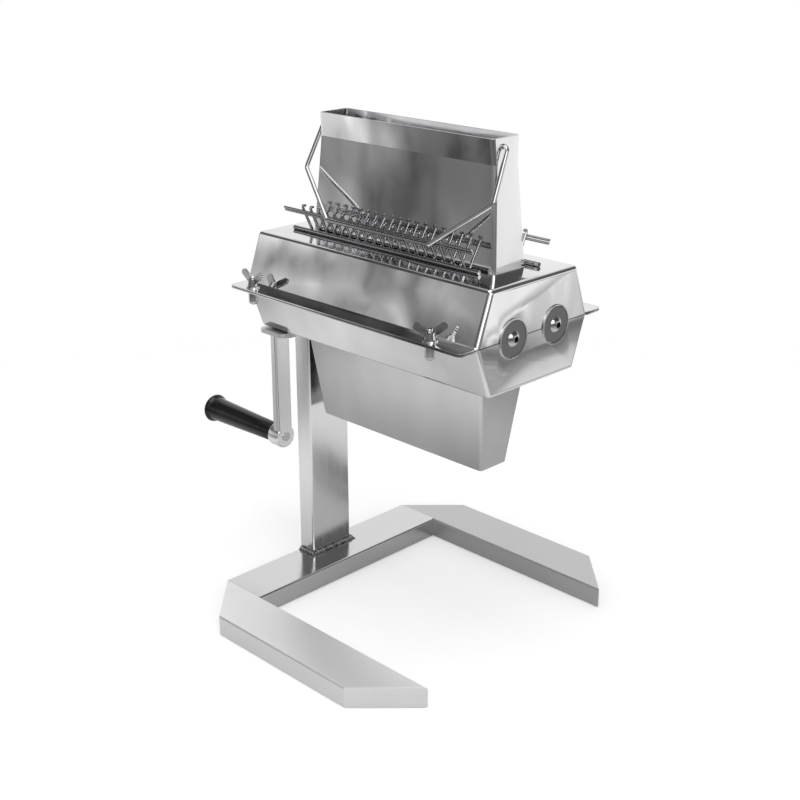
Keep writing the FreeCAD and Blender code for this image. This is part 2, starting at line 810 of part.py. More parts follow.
def side_edges(offset):
    """Edges of one side of a finger, from its lower end round the roller and up to its hook."""
    up, normal, _, lean = finger_line()
    centre = (-roller_y, roller_axis_z)
    radius = finger_path_radius + offset
    end = -math.radians(finger_end_angle)

    def on_arc(angle):
        return V(0, centre[0] + radius * math.cos(angle), centre[1] + radius * math.sin(angle))

    line_start = on_arc(lean)
    line_end = line_start + V(0, up[0], up[1]) * finger_top_along()
    hook_centre = V(0, *hook_centre_yz())
    across = V(0, normal[0], normal[1])
    lift = V(0, up[0], up[1])
    hook = hook_radius - offset
    hook_end = hook_centre + across * hook
    return [Part.Arc(on_arc(end), on_arc((end + lean) / 2), line_start).toShape(),
            Part.LineSegment(line_start, line_end).toShape(),
            Part.Arc(line_end, hook_centre + lift * hook, hook_end).toShape()]


def finger_top_along():
    """Length of the finger's straight part, from the roller up to the hook."""
    along, _ = finger_point(comb_low_z())
    return along + comb_top_rise + comb_top_rod_radius + hook_stand


def hook_centre_yz():
    """Centre of the fingers' hooks, which curl over the top rods towards the hopper."""
    up, normal, foot, _ = finger_line()
    along = finger_top_along()
    return (foot[0] + up[0] * along + normal[0] * hook_radius,
            foot[1] + up[1] * along + normal[1] * hook_radius)


def finger(x):
    half = finger_size / 2
    near = side_edges(half)
    far = side_edges(-half)
    ends = [Part.LineSegment(near[0].firstVertex().Point, far[0].firstVertex().Point).toShape(),
            Part.LineSegment(near[-1].lastVertex().Point, far[-1].lastVertex().Point).toShape()]
    outline = Part.Wire(Part.__sortEdges__(near + far + ends))
    bar = Part.Face(outline).extrude(V(finger_size, 0, 0))
    bar.translate(V(x - half, 0, 0))
    return bar


def top_rod_centres():
    """Centres of the two top rods, the upper one first; both lie on the fingers' outer side."""
    up, normal, _, _ = finger_line()
    back = comb_low_rod_radius - comb_top_rod_radius
    half = comb_top_rod_radius + comb_rod_gap / 2
    centres = []
    for rise in (comb_top_rise + half, comb_top_rise - half):
        centres.append((-roller_y + up[0] * rise + normal[0] * back,
                        comb_low_z() + up[1] * rise + normal[1] * back))
    return centres


def comb():
    """Crank side's comb: fingers welded to a low rod and to a hairpin of two top rods."""
    x0 = finger_x(0) - comb_long_end
    x1 = finger_x(finger_count - 1) + comb_short_end
    low_rod = rod_x(x0 + low_rod_inset, x1, -roller_y, comb_low_z(), comb_low_rod_radius)
    upper, lower = top_rod_centres()
    bend = comb_top_rod_radius + (comb_rod_gap - hairpin_flat) / 2
    points = [V(x0, *upper), V(x1, *upper), V(x1, *lower), V(x0, *lower)]
    hairpin = bent_wire(points, bend, comb_top_rod_radius)
    return low_rod.fuse([hairpin] + [finger(finger_x(index)) for index in range(finger_count)])


# ---------------------------------------------------------------- bail

def bail_bar_yz():
    """Place of the bail's bar: the plane of its legs just clears the comb's hooks and top rods."""
    upper, _ = top_rod_centres()
    stops = [(hook_centre_yz(), hook_radius + finger_size / 2), (upper, comb_top_rod_radius)]
    headings = []
    for (y, z), radius in stops:
        dy = y + bail_pivot_y
        dz = z - bail_pivot_z
        clear = radius + bail_wire_radius + rest_gap
        headings.append(math.atan2(dz, dy) - math.asin(clear / math.hypot(dy, dz)))
    heading = min(headings)
    return (-bail_pivot_y + bail_length * math.cos(heading), bail_pivot_z + bail_length * math.sin(heading))


def bail():
    """Bent wire that swings on the hopper's ends; its bar lies against the crank side's comb."""
    bar = bail_bar_yz()
    pivot = (-bail_pivot_y, bail_pivot_z)
    knee = tuple(p + (b - p) * bail_knee_share for p, b in zip(pivot, bar))
    stub = hopper_rim_half_length - hopper_sheet - bail_stub
    leg = hopper_rim_half_length + bail_leg_gap + bail_wire_radius
    centre = hopper_x - bail_side_play
    bar_centre = centre - bail_bar_shift
    points = []
    for side in (-1, 1):
        run = [V(hopper_x + side * stub, *pivot), V(hopper_x + side * leg, *pivot),
               V(centre + side * bail_knee_half_length, *knee), V(bar_centre + side * bail_bar_half_length, *bar)]
        points += run if side < 0 else run[::-1]
    return bent_wire(points, bail_bend_radius, bail_wire_radius)


# ---------------------------------------------------------------- flange fasteners

def flange_bolt(x, y):
    """Domed bolt under the flanges; its thread stands up through the wing nut."""
    z = roller_axis_z - sheet
    top = roller_axis_z + sheet + washer_thickness + face_gap + wing_hub_height + bolt_stand
    head = rod_z(x, y, z - bolt_head_height, z, bolt_head_radius)
    dome = [edge for edge in head.Edges if edge.BoundBox.ZMax < z - bolt_head_height + place_tolerance]
    head = head.makeFillet(bolt_head_radius * bolt_dome_share, dome)
    return head.fuse(rod_z(x, y, z, top, flange_bolt_radius))


def flange_washer(x, y):
    z = roller_axis_z + sheet
    ring = rod_z(x, y, z, z + washer_thickness, washer_radius)
    return ring.cut(rod_z(x, y, z, z + washer_thickness, flange_bolt_radius + running_fit))


def wing(side):
    """One wing: a flat blade with a rounded tip that rises outwards from the hub's axis."""
    half = wing_width / 2
    plate = box(0, wing_length, -wing_thickness / 2, wing_thickness / 2, -half, half)
    tips = edges_along(plate, Y_AXIS, lambda edge: edge.CenterOfMass.x > half)
    plate = plate.makeFillet(half * wing_tip_share, tips)
    plate.rotate(V(0, 0, 0), Y_AXIS, -wing_angle)
    plate.translate(V(0, 0, wing_root_height))
    return plate if side > 0 else plate.mirror(V(0, 0, 0), X_AXIS)


def wing_nut(x, y, turn):
    hub = Part.makeCone(wing_hub_radius, wing_hub_top_radius, wing_hub_height)
    nut = hub.fuse([wing(-1), wing(1)])
    nut = nut.cut(Part.makeCylinder(flange_bolt_radius + running_fit, wing_hub_height + wing_length))
    nut.rotate(V(0, 0, 0), Z_AXIS, turn)
    nut.translate(V(x, y, roller_axis_z + sheet + washer_thickness + face_gap))
    return nut


# ---------------------------------------------------------------- assembly

def save_base():
    leg = leg_tube()
    save(leg, "base_leg_front")
    save(mirrored_y(leg), "base_leg_back")
    save(crossbar_tube(), "base_crossbar")
    save(post_tube(), "post")
    save(post_weld(), "post_weld_bead")
    save(saddle_layer(plate_z0, plate_z1, 0), "saddle_plate")
    save(saddle_layer(plate_z1, lower_bottom_z, pad_inset), "saddle_pad")
    save(Part.Compound([mount_bolt(x, y) for x, y in mount_places()]), "saddle_bolts")
    save(Part.Compound([mount_nut(x, y) for x, y in mount_places()]), "saddle_nuts")


def save_housing():
    save(lower_housing(), "lower_housing")
    save(discharge_chute(), "discharge_chute")
    save(upper_cover(), "upper_cover")
    save(feed_hopper(), "feed_hopper")
    save(Part.Compound([bearing_at_free_end(y) for y in (-roller_y, roller_y)]), "free_end_bearings")
    save(Part.Compound([bearing_at_crank_end(y) for y in (-roller_y, roller_y)]), "crank_end_bearings")
    save(Part.Compound([flange_bolt(x, y) for x, y in flange_places()]), "flange_bolts")
    save(Part.Compound([flange_washer(x, y) for x, y in flange_places()]), "flange_washers")


def save_roller(side, name):
    y = side * roller_y
    save(roller_shaft(side), name + "_shaft")
    save(blades(side), name + "_blades")
    save(spacers(side), name + "_spacers")
    save(Part.Compound([circlip(x, y) for x in circlip_places(side)]), name + "_circlips")
    save(gear(side), name + "_gear")
    save(gear_key(side), name + "_gear_key")
    save(end_disc(y), name + "_end_disc")
    save(button_screw(housing_x1 + disc_outer_x, y, roller_axis_z), name + "_end_screw")


def save_crank():
    save(crank_arm(), "crank_arm")
    save(crank_washer(), "crank_washer")
    save(crank_screw(), "crank_screw")
    save(grip_spindle(), "grip_spindle")
    save(handle_grip(), "handle_grip")


def save_combs_and_bail():
    piece = comb()
    save(piece, "front_comb")
    save(turned_about(work_x, piece), "back_comb")
    save(bail(), "comb_bail")


def save_wing_nuts():
    names = ["front_crank_end", "front_free_end", "back_crank_end", "back_free_end"]
    for name, turn, (x, y) in zip(names, wing_turns, flange_places()):
        save(wing_nut(x, y, turn), "wing_nut_" + name)


save_base()
save_housing()
save_roller(-1, "front")
save_roller(1, "back")
save_crank()
save_combs_and_bail()
save_wing_nuts()
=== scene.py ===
import json
import math

import bmesh
import bpy
from mathutils import Matrix, Vector


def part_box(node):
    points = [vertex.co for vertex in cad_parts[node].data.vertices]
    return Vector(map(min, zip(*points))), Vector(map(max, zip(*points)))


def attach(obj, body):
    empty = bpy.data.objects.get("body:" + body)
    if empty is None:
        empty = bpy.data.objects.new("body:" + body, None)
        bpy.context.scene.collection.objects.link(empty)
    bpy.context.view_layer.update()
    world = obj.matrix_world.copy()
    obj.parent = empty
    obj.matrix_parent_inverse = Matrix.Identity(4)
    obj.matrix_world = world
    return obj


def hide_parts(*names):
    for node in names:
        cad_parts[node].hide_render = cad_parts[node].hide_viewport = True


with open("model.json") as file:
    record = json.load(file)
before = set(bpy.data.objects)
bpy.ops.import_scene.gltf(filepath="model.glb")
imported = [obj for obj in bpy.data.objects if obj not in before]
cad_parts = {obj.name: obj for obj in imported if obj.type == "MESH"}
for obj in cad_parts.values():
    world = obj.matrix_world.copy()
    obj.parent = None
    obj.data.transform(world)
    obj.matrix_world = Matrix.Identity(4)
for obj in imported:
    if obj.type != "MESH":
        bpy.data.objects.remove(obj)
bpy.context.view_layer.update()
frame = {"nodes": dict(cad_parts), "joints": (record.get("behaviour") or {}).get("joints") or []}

bl_info = {
    "name": "Hand Cranked Meat Tenderizer",
    "version": (1, 0, 0),
    "blender": (4, 5, 0),
    "location": "View3D > Sidebar > Tenderizer",
    "description": "Dresses a hand cranked meat tenderizer: sheet housing, combs, rollers, crank and stand",
    "category": "Object",
}

MM = 0.001
X_AXIS = Vector((1, 0, 0))

LOW_COVER, HIGH_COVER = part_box("upper_cover")
LOW_HOPPER, HIGH_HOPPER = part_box("feed_hopper")
LOW_DISC, HIGH_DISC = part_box("front_end_disc")

ROLLER_Z = (LOW_DISC.z + HIGH_DISC.z) / 2
ROLLER_Y = -(LOW_DISC.y + HIGH_DISC.y) / 2
WORK_X = (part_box("front_blades")[0].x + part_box("back_blades")[1].x) / 2
HOPPER_X = (LOW_HOPPER.x + HIGH_HOPPER.x) / 2


# ------------ sizes and finishes

def length(name, about, default, **limits):
    """Property for a length, with its default in millimetres."""
    return bpy.props.FloatProperty(name=name, description=about, default=default * MM, unit="LENGTH",
                                   subtype="DISTANCE", **limits)


def tint(name, about, *default):
    """Property for the tone or colour of a finish."""
    return bpy.props.FloatVectorProperty(name=name, description=about, default=default, subtype="COLOR",
                                         size=3, min=0.0, max=1.0)


class TenderizerSizes(bpy.types.PropertyGroup):
    edge: length("Edge rounding", "Rounding of sheet, bar and tube edges", 0.35, min=0.0)
    tube_corner: length("Tube corner", "Corner radius of the base's box tube", 2.0)
    finger_count: bpy.props.IntProperty(
        name="Fingers", description="Fingers of each comb", default=19, min=2)
    finger_pitch: length("Finger pitch", "Distance between two fingers, which is that of the blades", 10.4)
    finger_width: length("Finger width", "Width of a finger's square bar", 2.2)
    finger_round: length("Finger radius", "Radius of the finger's bend round its roller", 23.6)
    hook_radius: length("Hook radius", "Radius of the hook at a finger's top", 1.6)
    low_rod_radius: length("Low rod radius", "Radius of the comb's rod on the cover", 2.0)
    top_rod_radius: length("Top rod radius", "Radius of the comb's hairpin rod", 1.15)
    bail_radius: length("Bail wire radius", "Radius of the bail's wire", 2.0)
    bail_bend: length("Bail bend", "Radius of the bends along the bail", 4.5)
    bolt_head_height: length("Bolt head", "Height of the flange bolts' domed heads", 13.0)
    thread_pitch: length("Thread pitch", "Pitch of the flange bolts' thread", 1.0)
    ripple_pitch: length("Weld ripple pitch", "Distance between two ripples of the weld bead", 3.3)
    ripple_seed: bpy.props.IntProperty(
        name="Weld seed", description="Seed of the ripples' uneven sizes", default=7, min=0)


class TenderizerFinishes(bpy.types.PropertyGroup):
    sheet: tint("Polished sheet", "Tone of the polished sheet", 0.80, 0.80, 0.81)
    chute: tint("Chute sheet", "Tone of the chute's sheet", 0.72, 0.72, 0.73)
    tube: tint("Polished tube", "Tone of the base's and post's tubes", 0.80, 0.80, 0.80)
    bar: tint("Crank bar", "Tone of the crank's bar", 0.88, 0.88, 0.88)
    wire: tint("Wire and rods", "Tone of the bail and combs", 0.50, 0.50, 0.51)
    disc: tint("Matte discs", "Tone of the blasted end discs", 0.26, 0.26, 0.26)
    grip: tint("Grip", "Colour of the moulded grip", 0.012, 0.012, 0.013)


class TenderizerStage(bpy.types.PropertyGroup):
    floor_radius: bpy.props.FloatProperty(
        name="Floor radius", description="Radius of the pale floor, which fades out at its rim",
        default=1.0, min=0.5, unit="LENGTH", subtype="DISTANCE")
    key_power: bpy.props.FloatProperty(
        name="Top light", description="Power of the softbox above", default=9.0, unit="POWER")
    side_power: bpy.props.FloatProperty(
        name="Side light", description="Power of the softbox on the free end's side",
        default=4.0, unit="POWER")
    ambient: bpy.props.FloatProperty(
        name="Ambient", description="Strength of the room's even light", default=0.62, min=0.0)


# ------------ meshes

def new_object(name, data):
    piece = bpy.data.objects.new(name, data)
    bpy.context.scene.collection.objects.link(piece)
    return piece


def mesh_from(shape, name, sharp=35.0):
    """Turns a bmesh into a smooth shaded mesh whose sharp edges stay sharp."""
    mesh = bpy.data.meshes.new(name)
    shape.to_mesh(mesh)
    shape.free()
    shade(mesh, sharp)
    return mesh


def piece_from(shape, name, *materials, sharp=35.0):
    piece = new_object(name, mesh_from(shape, name, sharp))
    for material in materials:
        piece.data.materials.append(material)
    return piece


def shade(mesh, sharp):
    mesh.polygons.foreach_set("use_smooth", [True] * len(mesh.polygons))
    mesh.set_sharp_from_angle(angle=math.radians(sharp))


def plain_mesh(piece, name):
    """Replaces a piece by a plain mesh of what its modifiers make."""
    graph = bpy.context.evaluated_depsgraph_get()
    mesh = bpy.data.meshes.new_from_object(piece.evaluated_get(graph), depsgraph=graph)
    bpy.data.objects.remove(piece)
    return new_object(name, mesh)


def joined(name, pieces, material):
    """One plain mesh from several."""
    shape = bmesh.new()
    for piece in pieces:
        shape.from_mesh(piece.data)
        bpy.data.objects.remove(piece)
    return piece_from(shape, name, material)


def merged_copy(node, name):
    """A copy of a CAD solid with its triangles joined into whole faces."""
    shape = bmesh.new()
    shape.from_mesh(frame["nodes"][node].data)
    bmesh.ops.remove_doubles(shape, verts=shape.verts, dist=0.001 * MM)
    bmesh.ops.dissolve_limit(shape, angle_limit=math.radians(0.4), verts=shape.verts, edges=shape.edges)
    return new_object(name, mesh_from(shape, node))


def softened(node, body, slot, finish, edge, segments=2):
    """A CAD solid with rounded edges and smooth faces, which stands for the plain one."""
    piece = merged_copy(node, node + "_copy")
    if edge > 0:
        bevel = piece.modifiers.new("edges", "BEVEL")
        bevel.width = edge
        bevel.segments = segments
        bevel.limit_method = "ANGLE"
        bevel.angle_limit = math.radians(32)
        bevel.harden_normals = True
        bevel.miter_outer = "MITER_ARC"
    made = plain_mesh(piece, node + "_finished")
    made.data.materials.clear()
    made.data.materials.append(MATERIALS[finish])
    settled(made, body, slot, node)


def settled(piece, body, slot, *nodes):
    """Lets a finished piece ride on its body and stand for its CAD nodes, which it hides; the slot is not
    used.
    """
    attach(piece, body)
    if nodes:
        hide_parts(*nodes)


def skinned(shape, rings, capped=False):
    """Joins rings of vertices by a skin; a ring may also be one vertex, repeated."""
    for ring, after in zip(rings, rings[1:]):
        for i in range(len(ring)):
            j = (i + 1) % len(ring)
            corners = [ring[i], ring[j], after[j], after[i]]
            distinct = [v for k, v in enumerate(corners) if v not in corners[:k]]
            if len(distinct) > 2:
                shape.faces.new(distinct)
    if capped:
        shape.faces.new(rings[0])
        shape.faces.new(rings[-1])
    bmesh.ops.recalc_face_normals(shape, faces=shape.faces)
    return shape


def turned(profile, steps):
    """A round piece about the X axis from (x, radius) points; a radius may depend on the angle."""
    shape = bmesh.new()
    rings = []
    for x, radius in profile:
        if radius == 0:
            rings.append([shape.verts.new((x, 0, 0))] * steps)
            continue
        ring = []
        for i in range(steps):
            angle = 2 * math.pi * i / steps
            reach = radius(angle) if callable(radius) else radius
            ring.append(shape.verts.new((x, reach * math.cos(angle), reach * math.sin(angle))))
        rings.append(ring)
    return skinned(shape, rings)


def swept(path, section, across):
    """A bar along a path in a plane; section points are (across the plane, in the plane)."""
    shape = bmesh.new()
    rings = []
    for i, point in enumerate(path):
        along = (path[min(i + 1, len(path) - 1)] - path[max(i - 1, 0)]).normalized()
        inward = across.cross(along)
        rings.append([shape.verts.new(point + across * a + inward * b) for a, b in section])
    return skinned(shape, rings, capped=True)


def wire_path(name, points):
    """A curve object of straight runs through the points."""
    curve = bpy.data.curves.new(name, "CURVE")
    curve.dimensions = "3D"
    spline = curve.splines.new("POLY")
    spline.points.add(len(points) - 1)
    for place, point in zip(spline.points, points):
        place.co = (*point, 1.0)
    return new_object(name, curve)


# ------------ node trees

class NodeTree:
    """A node tree whose nodes come with their values and links."""

    def plug(self, target, value):
        """Links a socket to an input, or sets a plain value on it."""
        if isinstance(value, bpy.types.NodeSocket):
            self.tree.links.new(value, target)
        else:
            target.default_value = value

    def add(self, kind, links=None, **settings):
        node = self.tree.nodes.new(kind)
        for key, value in settings.items():
            setattr(node, key, value)
        for key, value in (links or {}).items():
            self.plug(node.inputs[key], value)
        return node


class GeometryTree(NodeTree):
    """One geometry node tree with named inputs, ending in Realize Instances and Set Material."""

    def __init__(self, name, values):
        """The values, whole numbers or lengths, go by the names of their inputs."""
        self.tree = bpy.data.node_groups.new(name, "GeometryNodeTree")
        self.tree.is_modifier = True
        self.values = {}
        for in_out in ("INPUT", "OUTPUT"):
            self.tree.interface.new_socket("Geometry", in_out=in_out, socket_type="NodeSocketGeometry")
        for label, value in values.items():
            kind = "NodeSocketInt" if isinstance(value, int) else "NodeSocketFloat"
            item = self.tree.interface.new_socket(label, in_out="INPUT", socket_type=kind)
            self.values[item.identifier] = value
        self.inputs = self.tree.nodes.new("NodeGroupInput").outputs

    def finish(self, geometry, material):
        real = self.add("GeometryNodeRealizeInstances", {"Geometry": geometry})
        dressed = self.add("GeometryNodeSetMaterial", {"Geometry": real.outputs[0], "Material": material})
        self.add("NodeGroupOutput", {0: dressed.outputs[0]})

    def applied(self, piece, name):
        """Runs the tree on a piece and returns the plain mesh object that it makes."""
        modifier = piece.modifiers.new(self.tree.name, "NODES")
        modifier.node_group = self.tree
        for identifier, value in self.values.items():
            modifier[identifier] = value
        return plain_mesh(piece, name)


def bent_wire(name, points, radius, bend, material):
    """Round wire along the points with every corner bent to one radius."""
    tree = GeometryTree("bent wire", {"Wire radius": radius, "Bend radius": bend})
    bends = tree.add("GeometryNodeFilletCurve", {
        "Curve": tree.inputs["Geometry"], "Count": 10, "Radius": tree.inputs["Bend radius"]}, mode="POLY")
    ring = tree.add("GeometryNodeCurvePrimitiveCircle", {
        "Resolution": 20, "Radius": tree.inputs["Wire radius"]})
    skin = tree.add("GeometryNodeCurveToMesh", {
        "Curve": bends.outputs[0], "Profile Curve": ring.outputs[0], "Fill Caps": True})
    tree.finish(skin.outputs[0], material)
    wire = tree.applied(wire_path(name + "_path", points), name)
    shade(wire.data, 50.0)
    return wire


def repeated(piece, name, count, pitch, start, material):
    """A row of the same piece along X."""
    tree = GeometryTree("row along the rollers", {"Count": count, "Pitch": pitch, "Start": start})
    step = tree.add("ShaderNodeCombineXYZ", {"X": tree.inputs["Pitch"]})
    first = tree.add("ShaderNodeCombineXYZ", {"X": tree.inputs["Start"]})
    line = tree.add("GeometryNodeMeshLine", {
        "Count": tree.inputs["Count"], "Start Location": first.outputs[0], "Offset": step.outputs[0]},
        mode="OFFSET")
    row = tree.add("GeometryNodeInstanceOnPoints", {
        "Points": line.outputs[0], "Instance": tree.inputs["Geometry"]})
    tree.finish(row.outputs[0], material)
    return tree.applied(piece, name)


MIX_SOCKETS = {"FLOAT": (2, 3, 0), "RGBA": (6, 7, 2)}  # first and second input, result


class ShaderTree(NodeTree):
    """The shader nodes of a material or of the world."""

    def __init__(self, owner):
        owner.use_nodes = True
        self.tree = owner.node_tree
        self.tree.nodes.clear()

    def computed(self, operation, *values):
        return self.add("ShaderNodeMath", dict(enumerate(values)), operation=operation).outputs[0]

    def ranged(self, value, low, high, from_low=0.3, from_high=0.7, curve="SMOOTHSTEP"):
        """Takes a value from one range to another, and no further than its ends."""
        return self.add("ShaderNodeMapRange", {
            "Value": value, "From Min": from_low, "From Max": from_high, "To Min": low, "To Max": high},
            interpolation_type=curve).outputs[0]

    def mixed(self, factor, first, second, kind="FLOAT", blend="MIX"):
        first_at, second_at, result_at = MIX_SOCKETS[kind]
        node = self.add("ShaderNodeMix", {0: factor, first_at: first, second_at: second},
                        data_type=kind, blend_type=blend)
        return node.outputs[result_at]

    def ramp(self, place, first, stops):
        """Grey by a place from 0 to 1: the first grey at 0, then one for each (place, grey) stop."""
        node = self.add("ShaderNodeValToRGB", {0: place})
        marks = node.color_ramp.elements
        marks.remove(marks[1])
        marks[0].color = (first, first, first, 1)
        for reach, grey in stops:
            marks.new(reach).color = (grey, grey, grey, 1)
        return node.outputs["Color"]


# ------------ finishes

# Painted shade: the chute's sheet darkens towards its foot, down to this part of its tone
CHUTE_FOOT_SHADE = 0.62  # of the sheet's tone
# Painted shadow along the joint between the cover and the lower housing: its part of the sheet's tone and its
# half widths
SEAM_SHADE = 0.10  # of the sheet's tone
SEAM_HALF_WIDTH = (0.25 * MM, 0.55 * MM)  # dark, then faded
SCRATCH_HEIGHT = 0.0006  # of the waves' height


class Finish(ShaderTree):
    """A node based metal, plastic or rubber finish that reads Object coordinates."""

    def __init__(self, name, metallic, roughness):
        self.material = bpy.data.materials.new(name)
        super().__init__(self.material)
        self.shader = self.add("ShaderNodeBsdfPrincipled", {"Metallic": metallic, "Roughness": roughness})
        self.add("ShaderNodeOutputMaterial", {"Surface": self.shader.outputs[0]})
        self.place = self.add("ShaderNodeTexCoord").outputs["Object"]

    def noise(self, scale, detail=2.0, stretch=(1, 1, 1)):
        mapped = self.add("ShaderNodeMapping", {"Vector": self.place, "Scale": stretch})
        return self.add("ShaderNodeTexNoise", {
            "Vector": mapped.outputs[0], "Scale": scale, "Detail": detail, "Roughness": 0.55}).outputs["Fac"]

    def tones(self, factor, tone, dark, light):
        """Base colour that moves between a darker and a lighter tone of one colour."""
        low, high = ((*[min(1.0, c * part) for c in tone], 1.0) for part in (dark, light))
        return self.mixed(factor, low, high, "RGBA")

    def dimmed(self, surface, factor):
        grey = self.add("ShaderNodeCombineColor", {0: factor, 1: factor, 2: factor})
        return self.mixed(1.0, surface, grey.outputs[0], "RGBA", "MULTIPLY")

    def rough(self, value, low, high):
        self.plug(self.shader.inputs["Roughness"], self.ranged(value, low, high))

    def colour(self, socket):
        self.plug(self.shader.inputs["Base Color"], socket)

    def bump(self, height, strength, distance):
        node = self.add("ShaderNodeBump", {"Height": height, "Strength": strength, "Distance": distance})
        self.plug(self.shader.inputs["Normal"], node.outputs[0])


def brushed(name, tone, grain, rough, contrast=0.06, lift=1.0):
    """Steel with fine parallel grinding lines; grain holds the lines per metre along X, Y and Z. lift scales
    the tone: for the tubes it paints light and shade into lit and shaded copies of one steel, for the comb it
    gives a darker tone.
    """
    finish = Finish(name, 1.0, rough[0])
    lines = finish.noise(1.0, 4.0, grain)
    cloud = finish.noise(11.0, 2.0)
    half = finish.computed("MULTIPLY", finish.computed("ADD", lines, cloud), 0.5)
    toned_and_lit = [c * lift for c in tone]
    finish.colour(finish.tones(finish.ranged(half, 0.0, 1.0), toned_and_lit, 1 - contrast, 1 + contrast))
    finish.rough(lines, *rough)
    finish.bump(lines, 0.05, 0.05 * MM)
    return finish.material


def polished(name, tone, rough, waviness=0.25, shaded_foot=None, shaded_seam=None):
    """Polished sheet with streaks, which are partly painted soft reflections, with haze and slight waves; the
    foot's heights, if given, set where painted shade darkens the sheet towards its foot, the seam's height a
    painted shadow along the joint line between two sheets."""
    finish = Finish(name, 1.0, rough[0])
    # Streaks of tone: partly polish streaks, partly painted soft reflections
    streaks_and_reflections = finish.noise(7.0, 3.0, (1.6, 1.6, 0.35))
    haze = finish.noise(60.0, 4.0, (1.0, 1.0, 0.5))
    scratches = finish.noise(1.0, 3.0, (30.0, 900.0, 700.0))
    surface = finish.tones(finish.ranged(streaks_and_reflections, 0.0, 1.0), tone, 0.90, 1.06)
    height = finish.add("ShaderNodeSeparateXYZ", {0: finish.place}).outputs["Z"]
    # Painted shade: darker towards the foot of the chute
    if shaded_foot:
        surface = finish.dimmed(surface, finish.ranged(height, CHUTE_FOOT_SHADE, 1.0, *shaded_foot))
    # Painted shadow: a dark line at the joint between the two sheets
    if shaded_seam:
        away = finish.computed("ABSOLUTE", finish.computed("SUBTRACT", height, shaded_seam))
        surface = finish.dimmed(surface, finish.ranged(away, SEAM_SHADE, 1.0, *SEAM_HALF_WIDTH))
    finish.colour(surface)
    finish.rough(haze, *rough)
    wave = finish.noise(10.0, 1.2, (1.0, 1.0, 0.6))
    relief = finish.computed("ADD", wave, finish.computed("MULTIPLY", scratches, SCRATCH_HEIGHT))
    finish.bump(relief, waviness, 12.0 * MM)
    return finish.material


def lathe_turned(name, tone, centre, rings, rough, contrast=0.08):
    """Metal with fine rings from turning, centred on a roller."""
    finish = Finish(name, 1.0, rough[0])
    mapped = finish.add("ShaderNodeMapping", {"Vector": finish.place, "Location": [-c for c in centre]})
    wave = finish.add("ShaderNodeTexWave", {
        "Vector": mapped.outputs[0], "Scale": rings, "Distortion": 0.4, "Detail": 2.0},
        wave_type="RINGS", rings_direction="X")
    grain = finish.noise(900.0, 3.0)
    both = finish.computed("MULTIPLY", wave.outputs["Fac"], grain)
    finish.colour(finish.tones(finish.ranged(both, 0.0, 1.0, 0.05, 0.6), tone, 1 - contrast, 1 + contrast))
    finish.rough(grain, *rough)
    finish.bump(both, 0.15, 0.05 * MM)
    return finish.material


def weld_finish():
    """Weld bead: dark grey scale with bright worn crests."""
    dark, pale, worn = ((grey, grey, grey, 1) for grey in (0.07, 0.26, 0.62))
    finish = Finish("weld_bead", 1.0, 0.4)
    cloud = finish.noise(70.0, 3.0)
    scale = finish.mixed(finish.ranged(cloud, 0.0, 1.0), dark, pale, "RGBA")
    spots = finish.noise(240.0, 2.0)
    finish.colour(finish.mixed(finish.ranged(spots, 0.0, 0.6), scale, worn, "RGBA"))
    finish.rough(spots, 0.28, 0.5)
    finish.bump(spots, 0.3, 0.15 * MM)
    return finish.material


def rubber_finish():
    finish = Finish("grey_rubber", 0.0, 0.7)
    grain = finish.noise(700.0, 3.0)
    finish.colour(finish.tones(finish.ranged(grain, 0.0, 1.0), (0.26, 0.26, 0.26), 0.8, 1.2))
    finish.rough(grain, 0.6, 0.8)
    finish.bump(grain, 0.2, 0.1 * MM)
    return finish.material


def grip_finish(tone):
    """Glossy moulded plastic: nearly black, with a faint orange peel and hand wear."""
    finish = Finish("grip_plastic", 0.0, 0.14)
    peel = finish.noise(420.0, 2.0)
    wear = finish.noise(28.0, 4.0, (0.5, 1.0, 1.0))
    finish.colour(finish.tones(finish.ranged(wear, 0.0, 1.0), tone, 0.7, 1.5))
    finish.rough(wear, 0.05, 0.10)
    finish.shader.inputs["IOR"].default_value = 1.42
    finish.bump(peel, 0.05, 0.06 * MM)
    return finish.material


MATERIALS = {}


